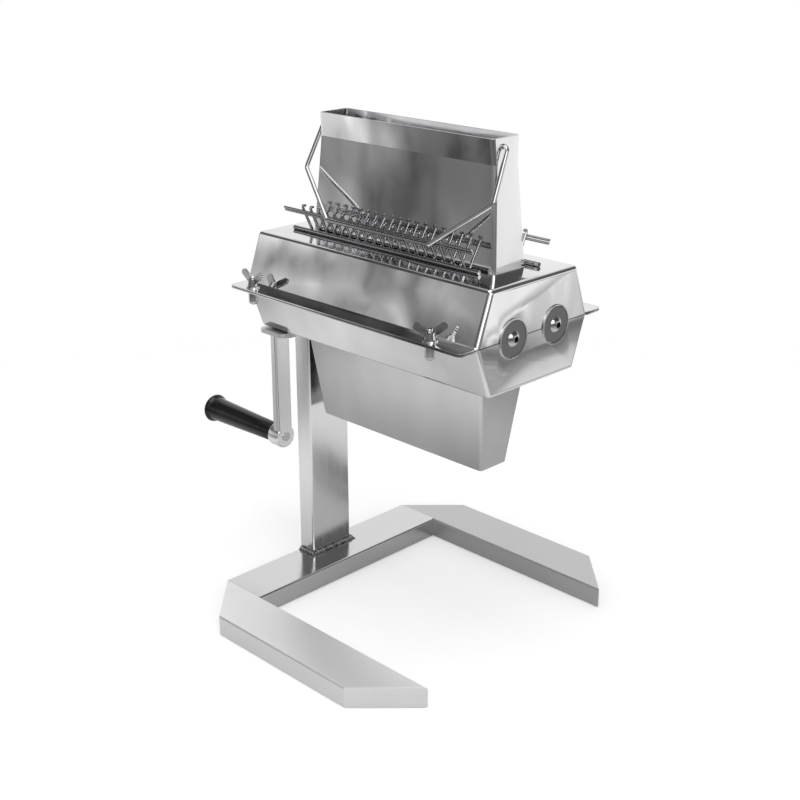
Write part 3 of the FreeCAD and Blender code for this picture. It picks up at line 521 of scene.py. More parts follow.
def make_finishes(tones):
    """All finishes of the machine, by plain name."""
    along_x, along_y, along_z, all_ways = (12, 700, 700), (700, 12, 700), (700, 700, 12), (260, 260, 260)
    steel, blade, cast = (0.58, 0.58, 0.59), (0.42, 0.42, 0.43), (0.40, 0.40, 0.41)
    black, bright = (0.07, 0.07, 0.07), (0.62, 0.62, 0.62)
    low_chute, high_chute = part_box("discharge_chute")
    MATERIALS.update({
        "sheet": polished("polished_sheet", tones.sheet, (0.06, 0.12), shaded_seam=LOW_COVER.z),
        "chute": polished("polished_chute", tones.chute, (0.14, 0.20), 0.1, (low_chute.z, high_chute.z)),
        # The base's and post's tubes are lit and shaded copies of one steel: painted light on the front legs
        # and the post, painted shade on the back leg and the crossbar
        "tube_x": brushed("polished_tube_legs_painted_light", tones.tube, along_x, (0.46, 0.52), 0.02, lift=1.15),
        "tube_back": brushed("polished_tube_back_leg_painted_shade", tones.tube, along_x, (0.40, 0.46), 0.02, lift=0.74),
        "tube_y": brushed("polished_tube_crossbar_painted_shade", tones.tube, along_y, (0.15, 0.21), 0.02, lift=0.86),
        "tube_z": brushed("polished_tube_post_painted_light", tones.tube, along_z, (0.18, 0.24), 0.02, lift=1.15),
        "plate": brushed("satin_plate", tones.tube, along_y, (0.40, 0.48), 0.04),
        "bar": brushed("crank_bar", tones.bar, along_z, (0.16, 0.24), 0.04),
        "comb": brushed("comb_steel", tones.wire, (60, 60, 500), (0.09, 0.15), lift=0.9),
        "wire": brushed("bail_wire", tones.wire, (25, 25, 400), (0.06, 0.12)),
        "hardware": brushed("bright_fastener", steel, all_ways, (0.08, 0.15), 0.1),
        "nut": brushed("cast_nut", cast, all_ways, (0.10, 0.18), 0.1),
        # Near black steel for the insides of the hex sockets: painted shade
        "socket": brushed("socket_painted_shade", black, all_ways, (0.35, 0.55), 0.2),
        "ring": lathe_turned("polished_ring", bright, (0, -ROLLER_Y, ROLLER_Z), 120.0, (0.10, 0.18), 0.05),
        "weld": weld_finish(),
        "rubber": rubber_finish(),
        "grip": grip_finish(tones.grip),
    })
    for tail, y in (("", -ROLLER_Y), ("_back", ROLLER_Y)):
        centre = (0, y, ROLLER_Z)
        for key, name, metal, rings, rough in (("blade", "blade_steel", blade, 160.0, (0.22, 0.34)),
                                               ("roller", "turned_steel", steel, 180.0, (0.26, 0.38)),
                                               ("disc", "blasted_disc", tones.disc, 260.0, (0.42, 0.58))):
            MATERIALS[key + tail] = lathe_turned(name + tail, metal, centre, rings, rough)


# ------------ operators

class TENDERIZER_OT_finishes(bpy.types.Operator):
    """Make the finishes that the pieces take"""
    bl_idname = "tenderizer.finishes"
    bl_label = "Finishes"

    def execute(self, context):
        make_finishes(context.scene.tenderizer_finishes)
        return {"FINISHED"}


class TENDERIZER_OT_stand(bpy.types.Operator):
    """Dress the tube base, the post, its weld and the saddle"""
    bl_idname = "tenderizer.stand"
    bl_label = "Stand"

    def execute(self, context):
        sizes = context.scene.tenderizer_sizes
        for node, finish in (("base_leg_front", "tube_x"), ("base_leg_back", "tube_back"),
                             ("post", "tube_z"), ("saddle_plate", "plate")):
            softened(node, "stand", "satin_steel", finish, sizes.edge)
        crossbar(sizes)
        saddle_pad()
        for node in ("saddle_bolts", "saddle_nuts"):
            softened(node, "stand", "hardware", "hardware", sizes.edge)
        weld_bead(sizes)
        return {"FINISHED"}


PAD_END_ZONE = 4 * MM
PAD_CUT = 8 * MM
GROUND_DEPTH = 0.02 * MM


def saddle_pad():
    """Rubber pad, cut back so that it stays under the flat of the housing."""
    pad = merged_copy("saddle_pad", "saddle_rubber_pad")
    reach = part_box("saddle_pad")[1].y
    for vertex in pad.data.vertices:
        if abs(vertex.co.y) > reach - PAD_END_ZONE:
            vertex.co.y -= math.copysign(PAD_CUT, vertex.co.y)
    pad.data.materials.clear()
    pad.data.materials.append(MATERIALS["rubber"])
    settled(pad, "stand", "gasket", "saddle_pad")


def crossbar(sizes):
    """Crossbar whose welds to the legs are filled and ground flush."""
    low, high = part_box("base_crossbar")
    depth = sizes.tube_corner + sizes.edge
    top = high.z - GROUND_DEPTH
    pieces = [merged_copy("base_crossbar", "crossbar_tube")]
    for end, side in ((low.y, -1), (high.y, 1)):
        shape = bmesh.new()
        inner = end - side * sizes.edge
        section = [(inner, high.z - depth), (inner, top), (end + side * depth, top), (end, high.z - depth)]
        rings = [[shape.verts.new((x, y, z)) for y, z in section]
                 for x in (low.x + sizes.tube_corner, high.x - sizes.tube_corner)]
        pieces.append(piece_from(skinned(shape, rings, capped=True), "ground_weld"))
    bar = joined("crossbar_ground_flush", pieces, MATERIALS["tube_y"])
    settled(bar, "stand", "satin_steel", "base_crossbar")


BEAD_INSET = 0.42  # of the weld's leg
RIPPLE_RADIUS = 0.50  # of the weld's leg
RIPPLE_SIZES = (0.82, 1.06)
BEAD_CORNER = 2 * MM


def weld_bead(sizes):
    """Fillet bead round the post's foot with its row of overlapping ripples."""
    low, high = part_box("post_weld_bead")
    post_low, post_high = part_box("post")
    leg = high.z - low.z
    inset = BEAD_INSET * leg
    x0, x1 = low.x + inset, post_high.x + inset
    y0, y1 = post_low.y - inset, post_high.y + inset
    z = low.z + inset
    points = [(x0, y0, z), (x1 - BEAD_CORNER, y0, z), (x1, y0 + BEAD_CORNER, z), (x1, y1 - BEAD_CORNER, z),
              (x1 - BEAD_CORNER, y1, z), (x0, y1, z)]
    tree = GeometryTree("weld ripples", {"Ripple pitch": sizes.ripple_pitch,
                                         "Ripple radius": RIPPLE_RADIUS * leg, "Seed": sizes.ripple_seed})
    dots = tree.add("GeometryNodeResampleCurve", {
        "Curve": tree.inputs["Geometry"], "Length": tree.inputs["Ripple pitch"]}, mode="LENGTH")
    ball = tree.add("GeometryNodeMeshUVSphere", {
        "Segments": 14, "Rings": 8, "Radius": tree.inputs["Ripple radius"]})
    size = tree.add("FunctionNodeRandomValue", {
        2: RIPPLE_SIZES[0], 3: RIPPLE_SIZES[1], "Seed": tree.inputs["Seed"]}, data_type="FLOAT")
    scales = tree.add("GeometryNodeInstanceOnPoints", {
        "Points": dots.outputs[0], "Instance": ball.outputs[0], "Scale": size.outputs[1]})
    tree.finish(scales.outputs[0], MATERIALS["weld"])
    ripples = tree.applied(wire_path("weld_path", points), "weld_ripples")
    base = merged_copy("post_weld_bead", "weld_fillet")
    bead = joined("post_weld", [ripples, base], MATERIALS["weld"])
    settled(bead, "stand", "weld_steel", "post_weld_bead")


class TENDERIZER_OT_housing(bpy.types.Operator):
    """Dress the cover, the lower housing, the chute and the hopper"""
    bl_idname = "tenderizer.housing"
    bl_label = "Housing"

    def execute(self, context):
        edge = context.scene.tenderizer_sizes.edge
        for node in ("upper_cover", "lower_housing", "feed_hopper"):
            softened(node, "stand", "polished_sheet", "sheet", edge)
        softened("discharge_chute", "stand", "polished_sheet", "chute", edge)
        return {"FINISHED"}


class TENDERIZER_OT_fasteners(bpy.types.Operator):
    """Make the flange bolts with their threads, the washers and the wing nuts"""
    bl_idname = "tenderizer.fasteners"
    bl_label = "Fasteners"

    def execute(self, context):
        sizes = context.scene.tenderizer_sizes
        flange_bolts(sizes)
        softened("flange_washers", "stand", "hardware", "hardware", edge=0.2 * MM)
        for place in ("front_crank_end", "front_free_end", "back_crank_end", "back_free_end"):
            softened("wing_nut_" + place, "nut_" + place, "hardware", "nut", edge=0.8 * MM, segments=3)
        return {"FINISHED"}


BOLT_HEAD_RADIUS = 4.6 * MM
BOLT_DOME = 0.8  # the dome's part of the head's radius
BOLT_CORE = 2.62 * MM
BOLT_CREST = 3.0 * MM
BOLT_POINT = 0.8 * MM
BOLT_TIP = 0.72  # of the core's radius
PLAIN_SHANK = 2.6 * MM
THREAD_RUNOUT = 0.9 * MM


def bolt_blank(low_z, head_top, high_z):
    """A bolt that stands on its domed head, still without its thread."""
    quarter = [math.pi / 2 * i / 8 for i in range(9)]
    dome = [(low_z + BOLT_HEAD_RADIUS * BOLT_DOME * (1 - math.cos(a)),
             BOLT_HEAD_RADIUS * (1 - BOLT_DOME + BOLT_DOME * math.sin(a))) for a in quarter]
    outline = [(low_z, 0.0)] + dome + [
        (head_top, BOLT_HEAD_RADIUS), (head_top, BOLT_CORE), (high_z - BOLT_POINT, BOLT_CORE),
        (high_z, BOLT_CORE * BOLT_TIP), (high_z, 0.0)]
    shape = turned(outline, 40)
    upright = Matrix.Rotation(-math.pi / 2, 3, "Y")
    bmesh.ops.rotate(shape, verts=shape.verts, cent=(0, 0, 0), matrix=upright)
    return piece_from(shape, "bolt_blank")


def flange_bolts(sizes):
    """Domed bolts at the four flange corners, each with a helical thread on its shank."""
    low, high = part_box("flange_bolts")
    head_top = low.z + sizes.bolt_head_height
    thread_start = head_top + PLAIN_SHANK
    tree = GeometryTree("threaded bolts at the flange corners", {
        "Thread pitch": sizes.thread_pitch,
        "Thread height": high.z - THREAD_RUNOUT - thread_start,
        "Length": high.x - low.x - 2 * BOLT_HEAD_RADIUS,
        "Width": high.y - low.y - 2 * BOLT_HEAD_RADIUS})
    turns = tree.add("ShaderNodeMath", {0: tree.inputs["Thread height"], 1: tree.inputs["Thread pitch"]},
                     operation="DIVIDE")
    helix = tree.add("GeometryNodeCurveSpiral", {
        "Resolution": 24, "Rotations": turns.outputs[0], "Start Radius": BOLT_CORE,
        "End Radius": BOLT_CORE, "Height": tree.inputs["Thread height"]})
    lift = tree.add("GeometryNodeTransform", {
        "Geometry": helix.outputs[0], "Translation": (0, 0, thread_start)})
    ridge = tree.add("GeometryNodeCurvePrimitiveCircle", {"Resolution": 4, "Radius": BOLT_CREST - BOLT_CORE})
    skin = tree.add("GeometryNodeCurveToMesh", {
        "Curve": lift.outputs[0], "Profile Curve": ridge.outputs[0], "Fill Caps": True})
    whole = tree.add("GeometryNodeJoinGeometry")
    for part in (tree.inputs["Geometry"], skin.outputs[0]):
        tree.plug(whole.inputs[0], part)
    corners = tree.add("GeometryNodeMeshGrid", {
        "Size X": tree.inputs["Length"], "Size Y": tree.inputs["Width"], "Vertices X": 2, "Vertices Y": 2})
    centre = tree.add("GeometryNodeTransform", {
        "Geometry": corners.outputs[0], "Translation": ((low.x + high.x) / 2, 0, 0)})
    spread = tree.add("GeometryNodeInstanceOnPoints", {
        "Points": centre.outputs[0], "Instance": whole.outputs[0]})
    tree.finish(spread.outputs[0], MATERIALS["hardware"])
    bolts = tree.applied(bolt_blank(low.z, head_top, high.z), "flange_bolts_threaded")
    shade(bolts.data, 40.0)
    settled(bolts, "stand", "hardware", "flange_bolts")


class TENDERIZER_OT_rollers(bpy.types.Operator):
    """Make the blades of both rollers and dress their shafts, spacers, gears, discs and screws"""
    bl_idname = "tenderizer.rollers"
    bl_label = "Rollers"

    def execute(self, context):
        edge = context.scene.tenderizer_sizes.edge
        for side, body, y, tail in (("front", "drive_roller", -ROLLER_Y, ""),
                                    ("back", "idle_roller", ROLLER_Y, "_back")):
            blade_row(side, body, y, MATERIALS["blade" + tail])
            for node in ("shaft", "spacers", "gear", "gear_key"):
                softened(f"{side}_{node}", body, "roller_steel", "roller" + tail, 0.15 * MM, segments=1)
            softened(side + "_circlips", body, "hardware", "hardware", edge=0.0)
            softened(side + "_end_disc", body, "matte_disc", "disc" + tail, edge)
            end_screw(side, body)
        for node in ("free_end_bearings", "crank_end_bearings"):
            softened(node, "stand", "polished_ring", "ring", edge=0.3 * MM)
        return {"FINISHED"}


def hexagon(flats):
    """Reach of a hexagonal hole or bar by the angle round its axis."""
    return lambda angle: flats / 2 / math.cos((angle - math.pi / 6) % (math.pi / 3) - math.pi / 6)


SCREW_CROWN = 2.9 * MM
SCREW_SHANK = 4.0 * MM
SOCKET_FLATS = 5.0 * MM
SOCKET_DEPTH = 4.2 * MM
DRILL_POINT = 1.2 * MM


def end_screw(side, body):
    """Domed socket screw in the middle of an end disc; its hexagonal socket is painted dark inside: painted
    shade in the recess.
    """
    low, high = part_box(side + "_end_screw")
    reach = (high.y - low.y) / 2
    seat = HIGH_DISC.x
    height = high.x - seat
    drop = (SCREW_CROWN ** 2 + height ** 2 - reach ** 2) / (2 * height)
    ball = math.hypot(reach, drop)
    steps = 8
    first, last = math.asin(reach / ball), math.asin(SCREW_CROWN / ball)
    arc = [first + (last - first) * i / steps for i in range(steps + 1)]
    dome = [(seat + drop + ball * math.cos(a), ball * math.sin(a)) for a in arc]
    hole, bottom = hexagon(SOCKET_FLATS), high.x - SOCKET_DEPTH
    outline = [(low.x, 0.0), (low.x, SCREW_SHANK), (seat, SCREW_SHANK)] + dome + [
        (high.x, hole), (bottom, hole), (bottom - DRILL_POINT, 0.0)]
    shape = turned(outline, 48)
    centre = Vector((0, (low.y + high.y) / 2, (low.z + high.z) / 2))
    bmesh.ops.translate(shape, verts=shape.verts, vec=centre)
    screw = piece_from(shape, side + "_socket_screw", MATERIALS["hardware"], MATERIALS["socket"], sharp=30.0)
    # The socket's walls and floor take the near black steel: painted shade in the deep recess
    for face in screw.data.polygons:
        near_axis = (face.center - centre).yz.length < SCREW_CROWN
        if near_axis and face.center.x > high.x - 2 * SOCKET_DEPTH and abs(face.normal.x) < 0.9:
            face.material_index = 1
    settled(screw, body, "hardware", side + "_end_screw")


BLADE_COUNT = 20
BLADE_TEETH = 15
BLADE_TIP = 28.5 * MM
BLADE_ROOT = 23.0 * MM
BLADE_FLATS = 17.1 * MM
BLADE_THICKNESS = 1.2 * MM
GROUND_WIDTH = 1.6 * MM


def blade_row(side, body, y, material):
    """The row of toothed blades of one roller; each tooth is ground to a sharp edge."""
    low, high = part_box(side + "_blades")
    half = BLADE_THICKNESS / 2
    shape = bmesh.new()
    rings = []
    for x, trim in ((-half, None), (-half, GROUND_WIDTH), (0, 0), (half, GROUND_WIDTH), (half, None)):
        ring = []
        for i in range(2 * BLADE_TEETH):
            angle = math.pi * i / BLADE_TEETH
            radius = (BLADE_TIP if i % 2 == 0 else BLADE_ROOT) - (trim or 0)
            if trim is None:
                radius = hexagon(BLADE_FLATS)(angle)
            place = (x, y + radius * math.cos(angle), ROLLER_Z + radius * math.sin(angle))
            ring.append(shape.verts.new(place))
        rings.append(ring)
    blade = piece_from(skinned(shape, rings + rings[:1]), "blade", sharp=20.0)
    pitch = (high.x - low.x - BLADE_THICKNESS) / (BLADE_COUNT - 1)
    row = repeated(blade, side + "_blade_row", BLADE_COUNT, pitch, low.x + half, material)
    settled(row, body, "blade_steel", side + "_blades")


class TENDERIZER_OT_crank(bpy.types.Operator):
    """Dress the crank's arm and fasteners and turn its grip"""
    bl_idname = "tenderizer.crank"
    bl_label = "Crank"

    def execute(self, context):
        softened("crank_arm", "drive_roller", "crank_steel", "bar", edge=0.4 * MM)
        for node in ("crank_washer", "crank_screw", "grip_spindle"):
            softened(node, "drive_roller", "hardware", "hardware", edge=0.25 * MM)
        grip()
        return {"FINISHED"}


# (x, radius) in millimetres; x is taken from the lip's face, for GRIP_END from the far end
GRIP_LIP = [(0.0, 7.3), (0.0, 10.4), (0.5, 12.1), (1.6, 13.7), (2.9, 14.4), (4.2, 14.2), (5.6, 13.3),
            (7.0, 12.05)]
GRIP_BARREL = [(7.6, 11.85), (20.0, 11.7), (45.0, 11.0), (75.0, 10.1)]
GRIP_END = [(-1.2, 9.45), (-0.3, 9.0), (0.0, 8.2), (0.0, 4.05)]
GRIP_RECESS = [(7.0, 4.05), (7.0, 7.3), (0.0, 7.3)]


def grip():
    """Turned plastic grip: a rolled lip, a tapered body and a recess for the spindle's head."""
    low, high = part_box("handle_grip")
    far = (high.x - low.x) / MM
    profile = GRIP_LIP + GRIP_BARREL + [(far + x, r) for x, r in GRIP_END] + GRIP_RECESS
    shape = turned([(low.x + x * MM, r * MM) for x, r in profile], 96)
    bmesh.ops.remove_doubles(shape, verts=shape.verts, dist=0.001 * MM)
    bmesh.ops.recalc_face_normals(shape, faces=shape.faces)
    centre = Vector((0, (low.y + high.y) / 2, (low.z + high.z) / 2))
    bmesh.ops.translate(shape, verts=shape.verts, vec=centre)
    piece = piece_from(shape, "grip_moulding", MATERIALS["grip"], sharp=42.0)
    settled(piece, "grip", "grip_plastic", "handle_grip")


class TENDERIZER_OT_combs(bpy.types.Operator):
    """Make both stripper combs: a row of hooked fingers on a low rod and a hairpin"""
    bl_idname = "tenderizer.combs"
    bl_label = "Combs"

    def execute(self, context):
        sizes = context.scene.tenderizer_sizes
        front = comb(sizes)
        half_turn = (Matrix.Translation((WORK_X, 0, 0)) @ Matrix.Rotation(math.pi, 4, "Z")
                     @ Matrix.Translation((-WORK_X, 0, 0)))
        mesh = front.data.copy()
        mesh.transform(half_turn)
        back = new_object("back_comb_bars", mesh)
        settled(front, "stand", "comb_steel", "front_comb")
        settled(back, "stand", "comb_steel", "back_comb")
        return {"FINISHED"}


COMB_RISE = 20.1 * MM
FINGER_BITE = 0.3 * MM
FINGER_END = -math.radians(38)
FINGER_CORNER = 0.62  # of half the finger's width
HOOK_STAND = 3.7 * MM
FIRST_FINGER = 24.5 * MM
PAST_LAST_FINGER = 18.4 * MM
ROD_GAP = 0.5 * MM
HAIRPIN_BEND = 0.4  # of the rods' gap
LOW_ROD_INSET = 3.2 * MM
FRONT_AXIS = Vector((0, -ROLLER_Y, ROLLER_Z))


def finger_line(sizes, low_z):
    """Direction of the fingers' straight part, its normal, its foot on the bend and its lean."""
    offset = sizes.low_rod_radius + sizes.finger_width / 2 - FINGER_BITE
    lean = math.asin((sizes.finger_round - offset) / (low_z - ROLLER_Z))
    up = Vector((0, -math.sin(lean), math.cos(lean)))
    normal = Vector((0, math.cos(lean), math.sin(lean)))
    return up, normal, FRONT_AXIS + normal * sizes.finger_round, lean


def finger_blank(sizes, low_z):
    """One finger: bent round its roller, straight past both rods and hooked at its top."""
    up, normal, foot, lean = finger_line(sizes, low_z)
    straight = (low_z - foot.z) / up.z + COMB_RISE + sizes.top_rod_radius + HOOK_STAND
    arc = [FINGER_END + (lean - FINGER_END) * i / 14 for i in range(15)]
    path = [FRONT_AXIS + Vector((0, math.cos(a), math.sin(a))) * sizes.finger_round for a in arc]
    path.append(foot + up * straight)
    hook = path[-1] + normal * sizes.hook_radius
    for i in range(1, 9):
        turn = math.pi - math.pi * i / 8
        path.append(hook + (normal * math.cos(turn) + up * math.sin(turn)) * sizes.hook_radius)
    half = sizes.finger_width / 2
    cut = half * FINGER_CORNER
    section = [(half, cut), (cut, half), (-cut, half), (-half, cut), (-half, -cut), (-cut, -half),
               (cut, -half), (half, -cut)]
    return piece_from(swept(path, section, X_AXIS), "finger", sharp=60.0)


def comb(sizes):
    """The front comb: fingers, the low rod on the cover and the hairpin between their tops."""
    low_z = HIGH_COVER.z + sizes.low_rod_radius
    up, normal = finger_line(sizes, low_z)[:2]
    x0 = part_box("front_comb")[0].x
    start = x0 + FIRST_FINGER
    x1 = start + (sizes.finger_count - 1) * sizes.finger_pitch + PAST_LAST_FINGER
    metal = MATERIALS["comb"]
    fingers = repeated(finger_blank(sizes, low_z), "fingers", sizes.finger_count, sizes.finger_pitch,
                       start, metal)
    setback = sizes.low_rod_radius - sizes.top_rod_radius
    seat = Vector((0, -ROLLER_Y, low_z))
    above, below = (seat + up * (COMB_RISE + side * (sizes.top_rod_radius + ROD_GAP / 2)) + normal * setback
                    for side in (1, -1))
    loop = [(x0, *above.yz), (x1, *above.yz), (x1, *below.yz), (x0, *below.yz)]
    bend = sizes.top_rod_radius + ROD_GAP * HAIRPIN_BEND
    hairpin = bent_wire("hairpin", loop, sizes.top_rod_radius, bend, metal)
    low_rod = bent_wire("low_rod", [(x0 + LOW_ROD_INSET, *seat.yz), (x1, *seat.yz)], sizes.low_rod_radius,
                        0.0, metal)
    return joined("front_comb_bars", [fingers, hairpin, low_rod], metal)


# Half widths of the bail from its pivots to its bar, and how far it stands aside
BAIL_EYE = 96.8 * MM
BAIL_FOOT = 107 * MM
BAIL_KNEE = 111.2 * MM
BAIL_BAR = 61.7 * MM
BAIL_PLAY = 1.6 * MM
BAIL_SHIFT = 4.2 * MM
KNEE_SHARE = 0.525  # of the way from the pivot to the bar


class TENDERIZER_OT_bail(bpy.types.Operator):
    """Bend the bail's wire"""
    bl_idname = "tenderizer.bail"
    bl_label = "Bail"

    def execute(self, context):
        sizes = context.scene.tenderizer_sizes
        joint = [j for j in frame["joints"] if j["name"] == "bail_swing"][0]
        pivot = (joint["pos_m"][1], joint["pos_m"][2])
        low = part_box("comb_bail")[0]
        bar = (low.y + sizes.bail_radius, low.z + sizes.bail_radius)
        knee = tuple(p + (b - p) * KNEE_SHARE for p, b in zip(pivot, bar))
        centre = HOPPER_X - BAIL_PLAY
        bar_centre = centre - BAIL_SHIFT
        points = []
        for side in (-1, 1):
            run = [(HOPPER_X + side * BAIL_EYE, *pivot), (HOPPER_X + side * BAIL_FOOT, *pivot),
                   (centre + side * BAIL_KNEE, *knee), (bar_centre + side * BAIL_BAR, *bar)]
            points += run if side < 0 else run[::-1]
        wire = bent_wire("bail_bent_wire", points, sizes.bail_radius, sizes.bail_bend, MATERIALS["wire"])
        settled(wire, "bail_wire", "wire_steel", "comb_bail")
        return {"FINISHED"}


class TENDERIZER_OT_stage(bpy.types.Operator):
    """Set the floor, the soft lights, the pale surroundings and the camera"""
    bl_idname = "tenderizer.stage"
    bl_label = "Stage"

    def execute(self, context):
        stage = context.scene.tenderizer_stage
        floor(stage)
        lights(stage)
        surroundings(context.scene, stage)
        camera(context.scene)
        context.scene.view_settings.view_transform = "Standard"
        return {"FINISHED"}


MIDDLE = (0.08, 0, 0)
SUBJECT = (0.08, 0, 0.25)
FLOOR_DROP = 0.2 * MM
FLOOR_GREY = 0.86  # as the camera sees it
FLOOR_GLOW = 0.30
# Painted shadow and light of the floor as reflections see it, by the distance from its middle in metres: a
# painted shadow under the machine, a lighter ring round it, then a darker far floor
FLOOR_MIDDLE_SHADOW = 0.60
FLOOR_REFLECTED_SHADES = ((0.18, 0.66), (0.36, 0.85), (0.46, 0.76), (0.56, 0.40), (1.0, 0.34))


def floor(stage):
    """Round pale floor that fades out towards its rim."""
    shape = bmesh.new()
    bmesh.ops.create_circle(shape, cap_ends=True, segments=96, radius=stage.floor_radius)
    bmesh.ops.translate(shape, verts=shape.verts, vec=(MIDDLE[0], MIDDLE[1], -FLOOR_DROP))
    material = bpy.data.materials.new("pale_floor")
    nodes = ShaderTree(material)
    place = nodes.add("ShaderNodeTexCoord").outputs["Object"]
    distance = nodes.add("ShaderNodeVectorMath", {0: place, 1: MIDDLE}, operation="DISTANCE").outputs["Value"]
    fade = nodes.ranged(distance, 0.0, 1.0, stage.floor_radius * 0.5, stage.floor_radius * 0.98)
    seen = nodes.add("ShaderNodeLightPath").outputs["Is Camera Ray"]
    # Camera rays see the even pale grey; all other rays see the painted shadow and rings
    grey = nodes.mixed(seen, nodes.ramp(distance, FLOOR_MIDDLE_SHADOW, FLOOR_REFLECTED_SHADES), FLOOR_GREY)
    matte = nodes.add("ShaderNodeBsdfDiffuse", {"Color": grey})
    dark, glow = (nodes.add("ShaderNodeEmission", {"Strength": strength}) for strength in (0.0, FLOOR_GLOW))
    shown = nodes.add("ShaderNodeMixShader", {0: seen, 1: dark.outputs[0], 2: glow.outputs[0]})
    both = nodes.add("ShaderNodeAddShader", {0: matte.outputs[0], 1: shown.outputs[0]})
    clear = nodes.add("ShaderNodeBsdfTransparent")
    rim = nodes.add("ShaderNodeMixShader", {0: fade, 1: both.outputs[0], 2: clear.outputs[0]})
    nodes.add("ShaderNodeOutputMaterial", {"Surface": rim.outputs[0]})
    piece = piece_from(shape, "floor", material)


def softbox(name, place, width, height, power):
    """A soft rectangular light that points at the machine and isn't seen itself."""
    lamp = bpy.data.lights.new(name, "AREA")
    lamp.shape = "RECTANGLE"
    lamp.size = width
    lamp.size_y = height
    lamp.energy = power
    box = new_object(name, lamp)
    box.location = place
    box.rotation_mode = "QUATERNION"
    box.rotation_quaternion = (Vector(SUBJECT) - Vector(place)).to_track_quat("-Z", "Y")
    box.visible_camera = False


def lights(stage):
    softbox("softbox_above", (0.1, -0.25, 1.7), 1.3, 1.3, stage.key_power)
    softbox("softbox_side", (1.3, -0.5, 0.9), 0.9, 0.7, stage.side_power)


class RoomNodes(ShaderTree):
    """The nodes of the room that surrounds the machine."""

    def __init__(self, world):
        super().__init__(world)
        self.heading = self.add("ShaderNodeTexCoord").outputs["Generated"]

    def towards(self, direction, low, high):
        """0 to 1 as the heading turns towards a direction, between two cosines."""
        dot = self.add("ShaderNodeVectorMath", {0: self.heading, 1: direction}, operation="DOT_PRODUCT")
        return self.ranged(dot.outputs["Value"], 0.0, 1.0, low, high)

    def cloud(self, scale, low, high, from_low, from_high):
        """Blotches all over the room, between two values."""
        noise = self.add("ShaderNodeTexNoise", {"Vector": self.heading, "Scale": scale, "Detail": 2.0})
        return self.ranged(noise.outputs["Fac"], low, high, from_low, from_high, "LINEAR")

    def profile(self, stops):
        """Brightness by the height of the heading, from (sine of the elevation, brightness) stops."""
        height = self.add("ShaderNodeSeparateXYZ", {0: self.heading}).outputs["Z"]
        place = self.ranged(height, 0.0, 1.0, -1.0, 1.0, "LINEAR")
        return self.ramp(place, stops[0][1], [((sine + 1) / 2, value) for sine, value in stops])

    def background(self, strength):
        return self.add("ShaderNodeBackground", {"Color": (1, 1, 1, 1), "Strength": strength}).outputs[0]


# Brightness of the room in the metal's reflections, by the sine of the elevation
FRONT_SIDE = ((-0.75, 0.62), (-0.46, 0.55), (-0.34, 0.17), (-0.22, 0.13), (-0.08, 0.18), (0.06, 0.30),
              (0.16, 0.42), (0.26, 0.40), (0.36, 0.14), (0.45, 0.09), (0.72, 0.05), (0.95, 0.50))
LEFT_CORNER = ((-0.50, 0.85), (-0.25, 0.85), (-0.17, 0.36), (-0.08, 0.26), (0.06, 0.40), (0.15, 0.66),
               (0.26, 0.66), (0.36, 0.14), (0.72, 0.05))
BRIGHT_RIGHT = ((-0.42, 0.15), (-0.345, 0.22), (-0.31, 0.45), (-0.275, 1.05), (0.02, 1.05), (0.20, 0.25),
                (0.32, 0.10), (0.70, 0.10), (0.95, 0.50))
DIM_RIGHT = ((-0.42, 0.15), (-0.31, 0.20), (-0.24, 0.42), (-0.16, 1.05), (0.02, 1.05), (0.20, 0.25),
             (0.32, 0.10), (0.70, 0.10), (0.95, 0.50))
BACKDROP_BRIGHTNESS = 0.95
WINDOW_BRIGHTNESS = 0.78
LEFT = (-1.0, 0.0, 0.0)
BEHIND = (-0.25, 0.97, 0.0)
WINDOW = (0.6, -0.6, 0.53)


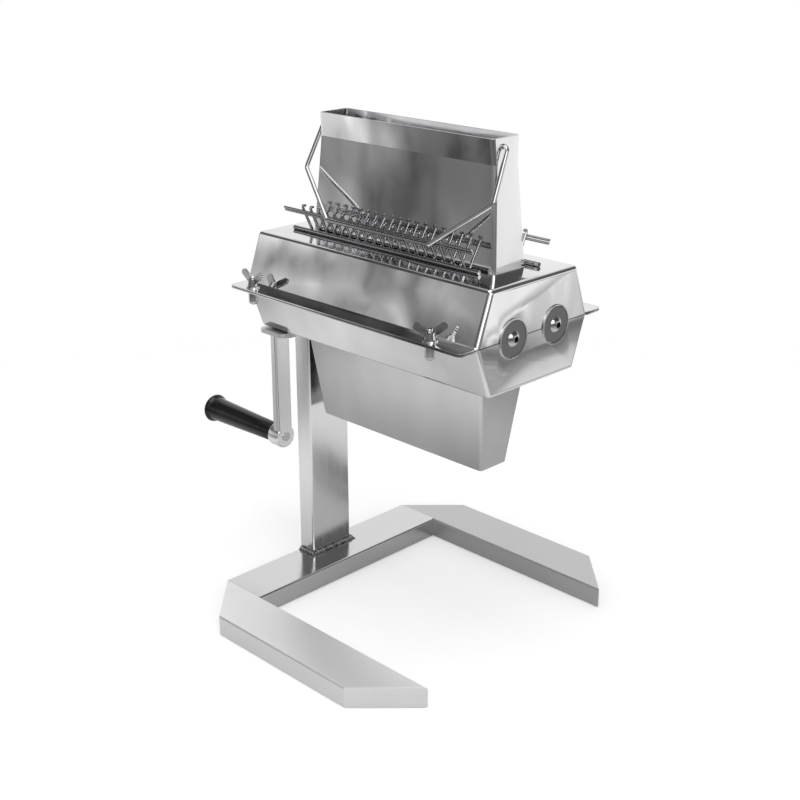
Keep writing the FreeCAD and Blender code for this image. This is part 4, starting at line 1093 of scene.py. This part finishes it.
def surroundings(scene, stage):
    """White room; polished faces see its white backdrop behind the machine and a dimmer side in front."""
    scene.world = bpy.data.worlds.new("room")
    room = RoomNodes(scene.world)
    front = room.mixed(room.towards(LEFT, 0.69, 0.745), room.profile(FRONT_SIDE), room.profile(LEFT_CORNER))
    dim_side = room.computed("MULTIPLY", front, room.cloud(11.0, 0.42, 1.80, 0.35, 0.65))
    right = room.mixed(room.cloud(14.0, 0.0, 1.0, 0.42, 0.60), room.profile(BRIGHT_RIGHT),
                       room.profile(DIM_RIGHT))
    behind = room.mixed(room.towards(LEFT, -0.30, 0.30), right, BACKDROP_BRIGHTNESS)
    walls = room.mixed(room.towards(BEHIND, 0.12, 0.50), dim_side, behind)
    seen_by_metal = room.mixed(room.towards(WINDOW, 0.80, 0.97), walls, WINDOW_BRIGHTNESS)
    path = room.add("ShaderNodeLightPath").outputs
    mirrored = room.computed("MAXIMUM", path["Is Glossy Ray"], path["Is Transmission Ray"])
    indoors = room.add("ShaderNodeMixShader", {
        0: mirrored, 1: room.background(stage.ambient), 2: room.background(seen_by_metal)})
    whole = room.add("ShaderNodeMixShader", {
        0: path["Is Camera Ray"], 1: indoors.outputs[0], 2: room.background(1.0)})
    room.add("ShaderNodeOutputWorld", {"Surface": whole.outputs[0]})


CAMERA_PLACE = (0.897378, -0.812430, 0.640013)
CAMERA_TILT = 20.805  # degrees below level
CAMERA_HEADING = 44.734  # degrees
LENS_MM, SENSOR_MM = 59.73, 36.0


def camera(scene):
    lens = bpy.data.cameras.new("camera")
    lens.sensor_width = SENSOR_MM
    lens.lens = LENS_MM
    view = new_object("camera", lens)
    view.location = CAMERA_PLACE
    view.rotation_euler = (math.radians(90 - CAMERA_TILT), 0, math.radians(CAMERA_HEADING))
    scene.camera = view


SETTINGS = {"tenderizer_sizes": TenderizerSizes, "tenderizer_finishes": TenderizerFinishes,
            "tenderizer_stage": TenderizerStage}


class TENDERIZER_PT_panel(bpy.types.Panel):
    bl_label = "Meat Tenderizer"
    bl_idname = "TENDERIZER_PT_panel"
    bl_space_type = "VIEW_3D"
    bl_region_type = "UI"
    bl_category = "Tenderizer"

    def draw(self, context):
        layout = self.layout
        for name in SETTINGS:
            settings = getattr(context.scene, name)
            block = layout.box()
            for key in settings.__annotations__:
                block.prop(settings, key)
        for operator in OPERATORS:
            layout.operator(operator.bl_idname)


OPERATORS = (TENDERIZER_OT_finishes, TENDERIZER_OT_stand, TENDERIZER_OT_housing, TENDERIZER_OT_fasteners,
             TENDERIZER_OT_rollers, TENDERIZER_OT_crank, TENDERIZER_OT_combs, TENDERIZER_OT_bail,
             TENDERIZER_OT_stage)
CLASSES = (*SETTINGS.values(), *OPERATORS, TENDERIZER_PT_panel)


def register():
    for cls in CLASSES:
        bpy.utils.register_class(cls)
    for name, settings in SETTINGS.items():
        setattr(bpy.types.Scene, name, bpy.props.PointerProperty(type=settings))


def unregister():
    for name in SETTINGS:
        delattr(bpy.types.Scene, name)
    for cls in reversed(CLASSES):
        bpy.utils.unregister_class(cls)


def main():
    register()
    for operator in OPERATORS:
        getattr(bpy.ops.tenderizer, operator.bl_idname.partition(".")[2])()


if __name__ == "__main__":
    main()
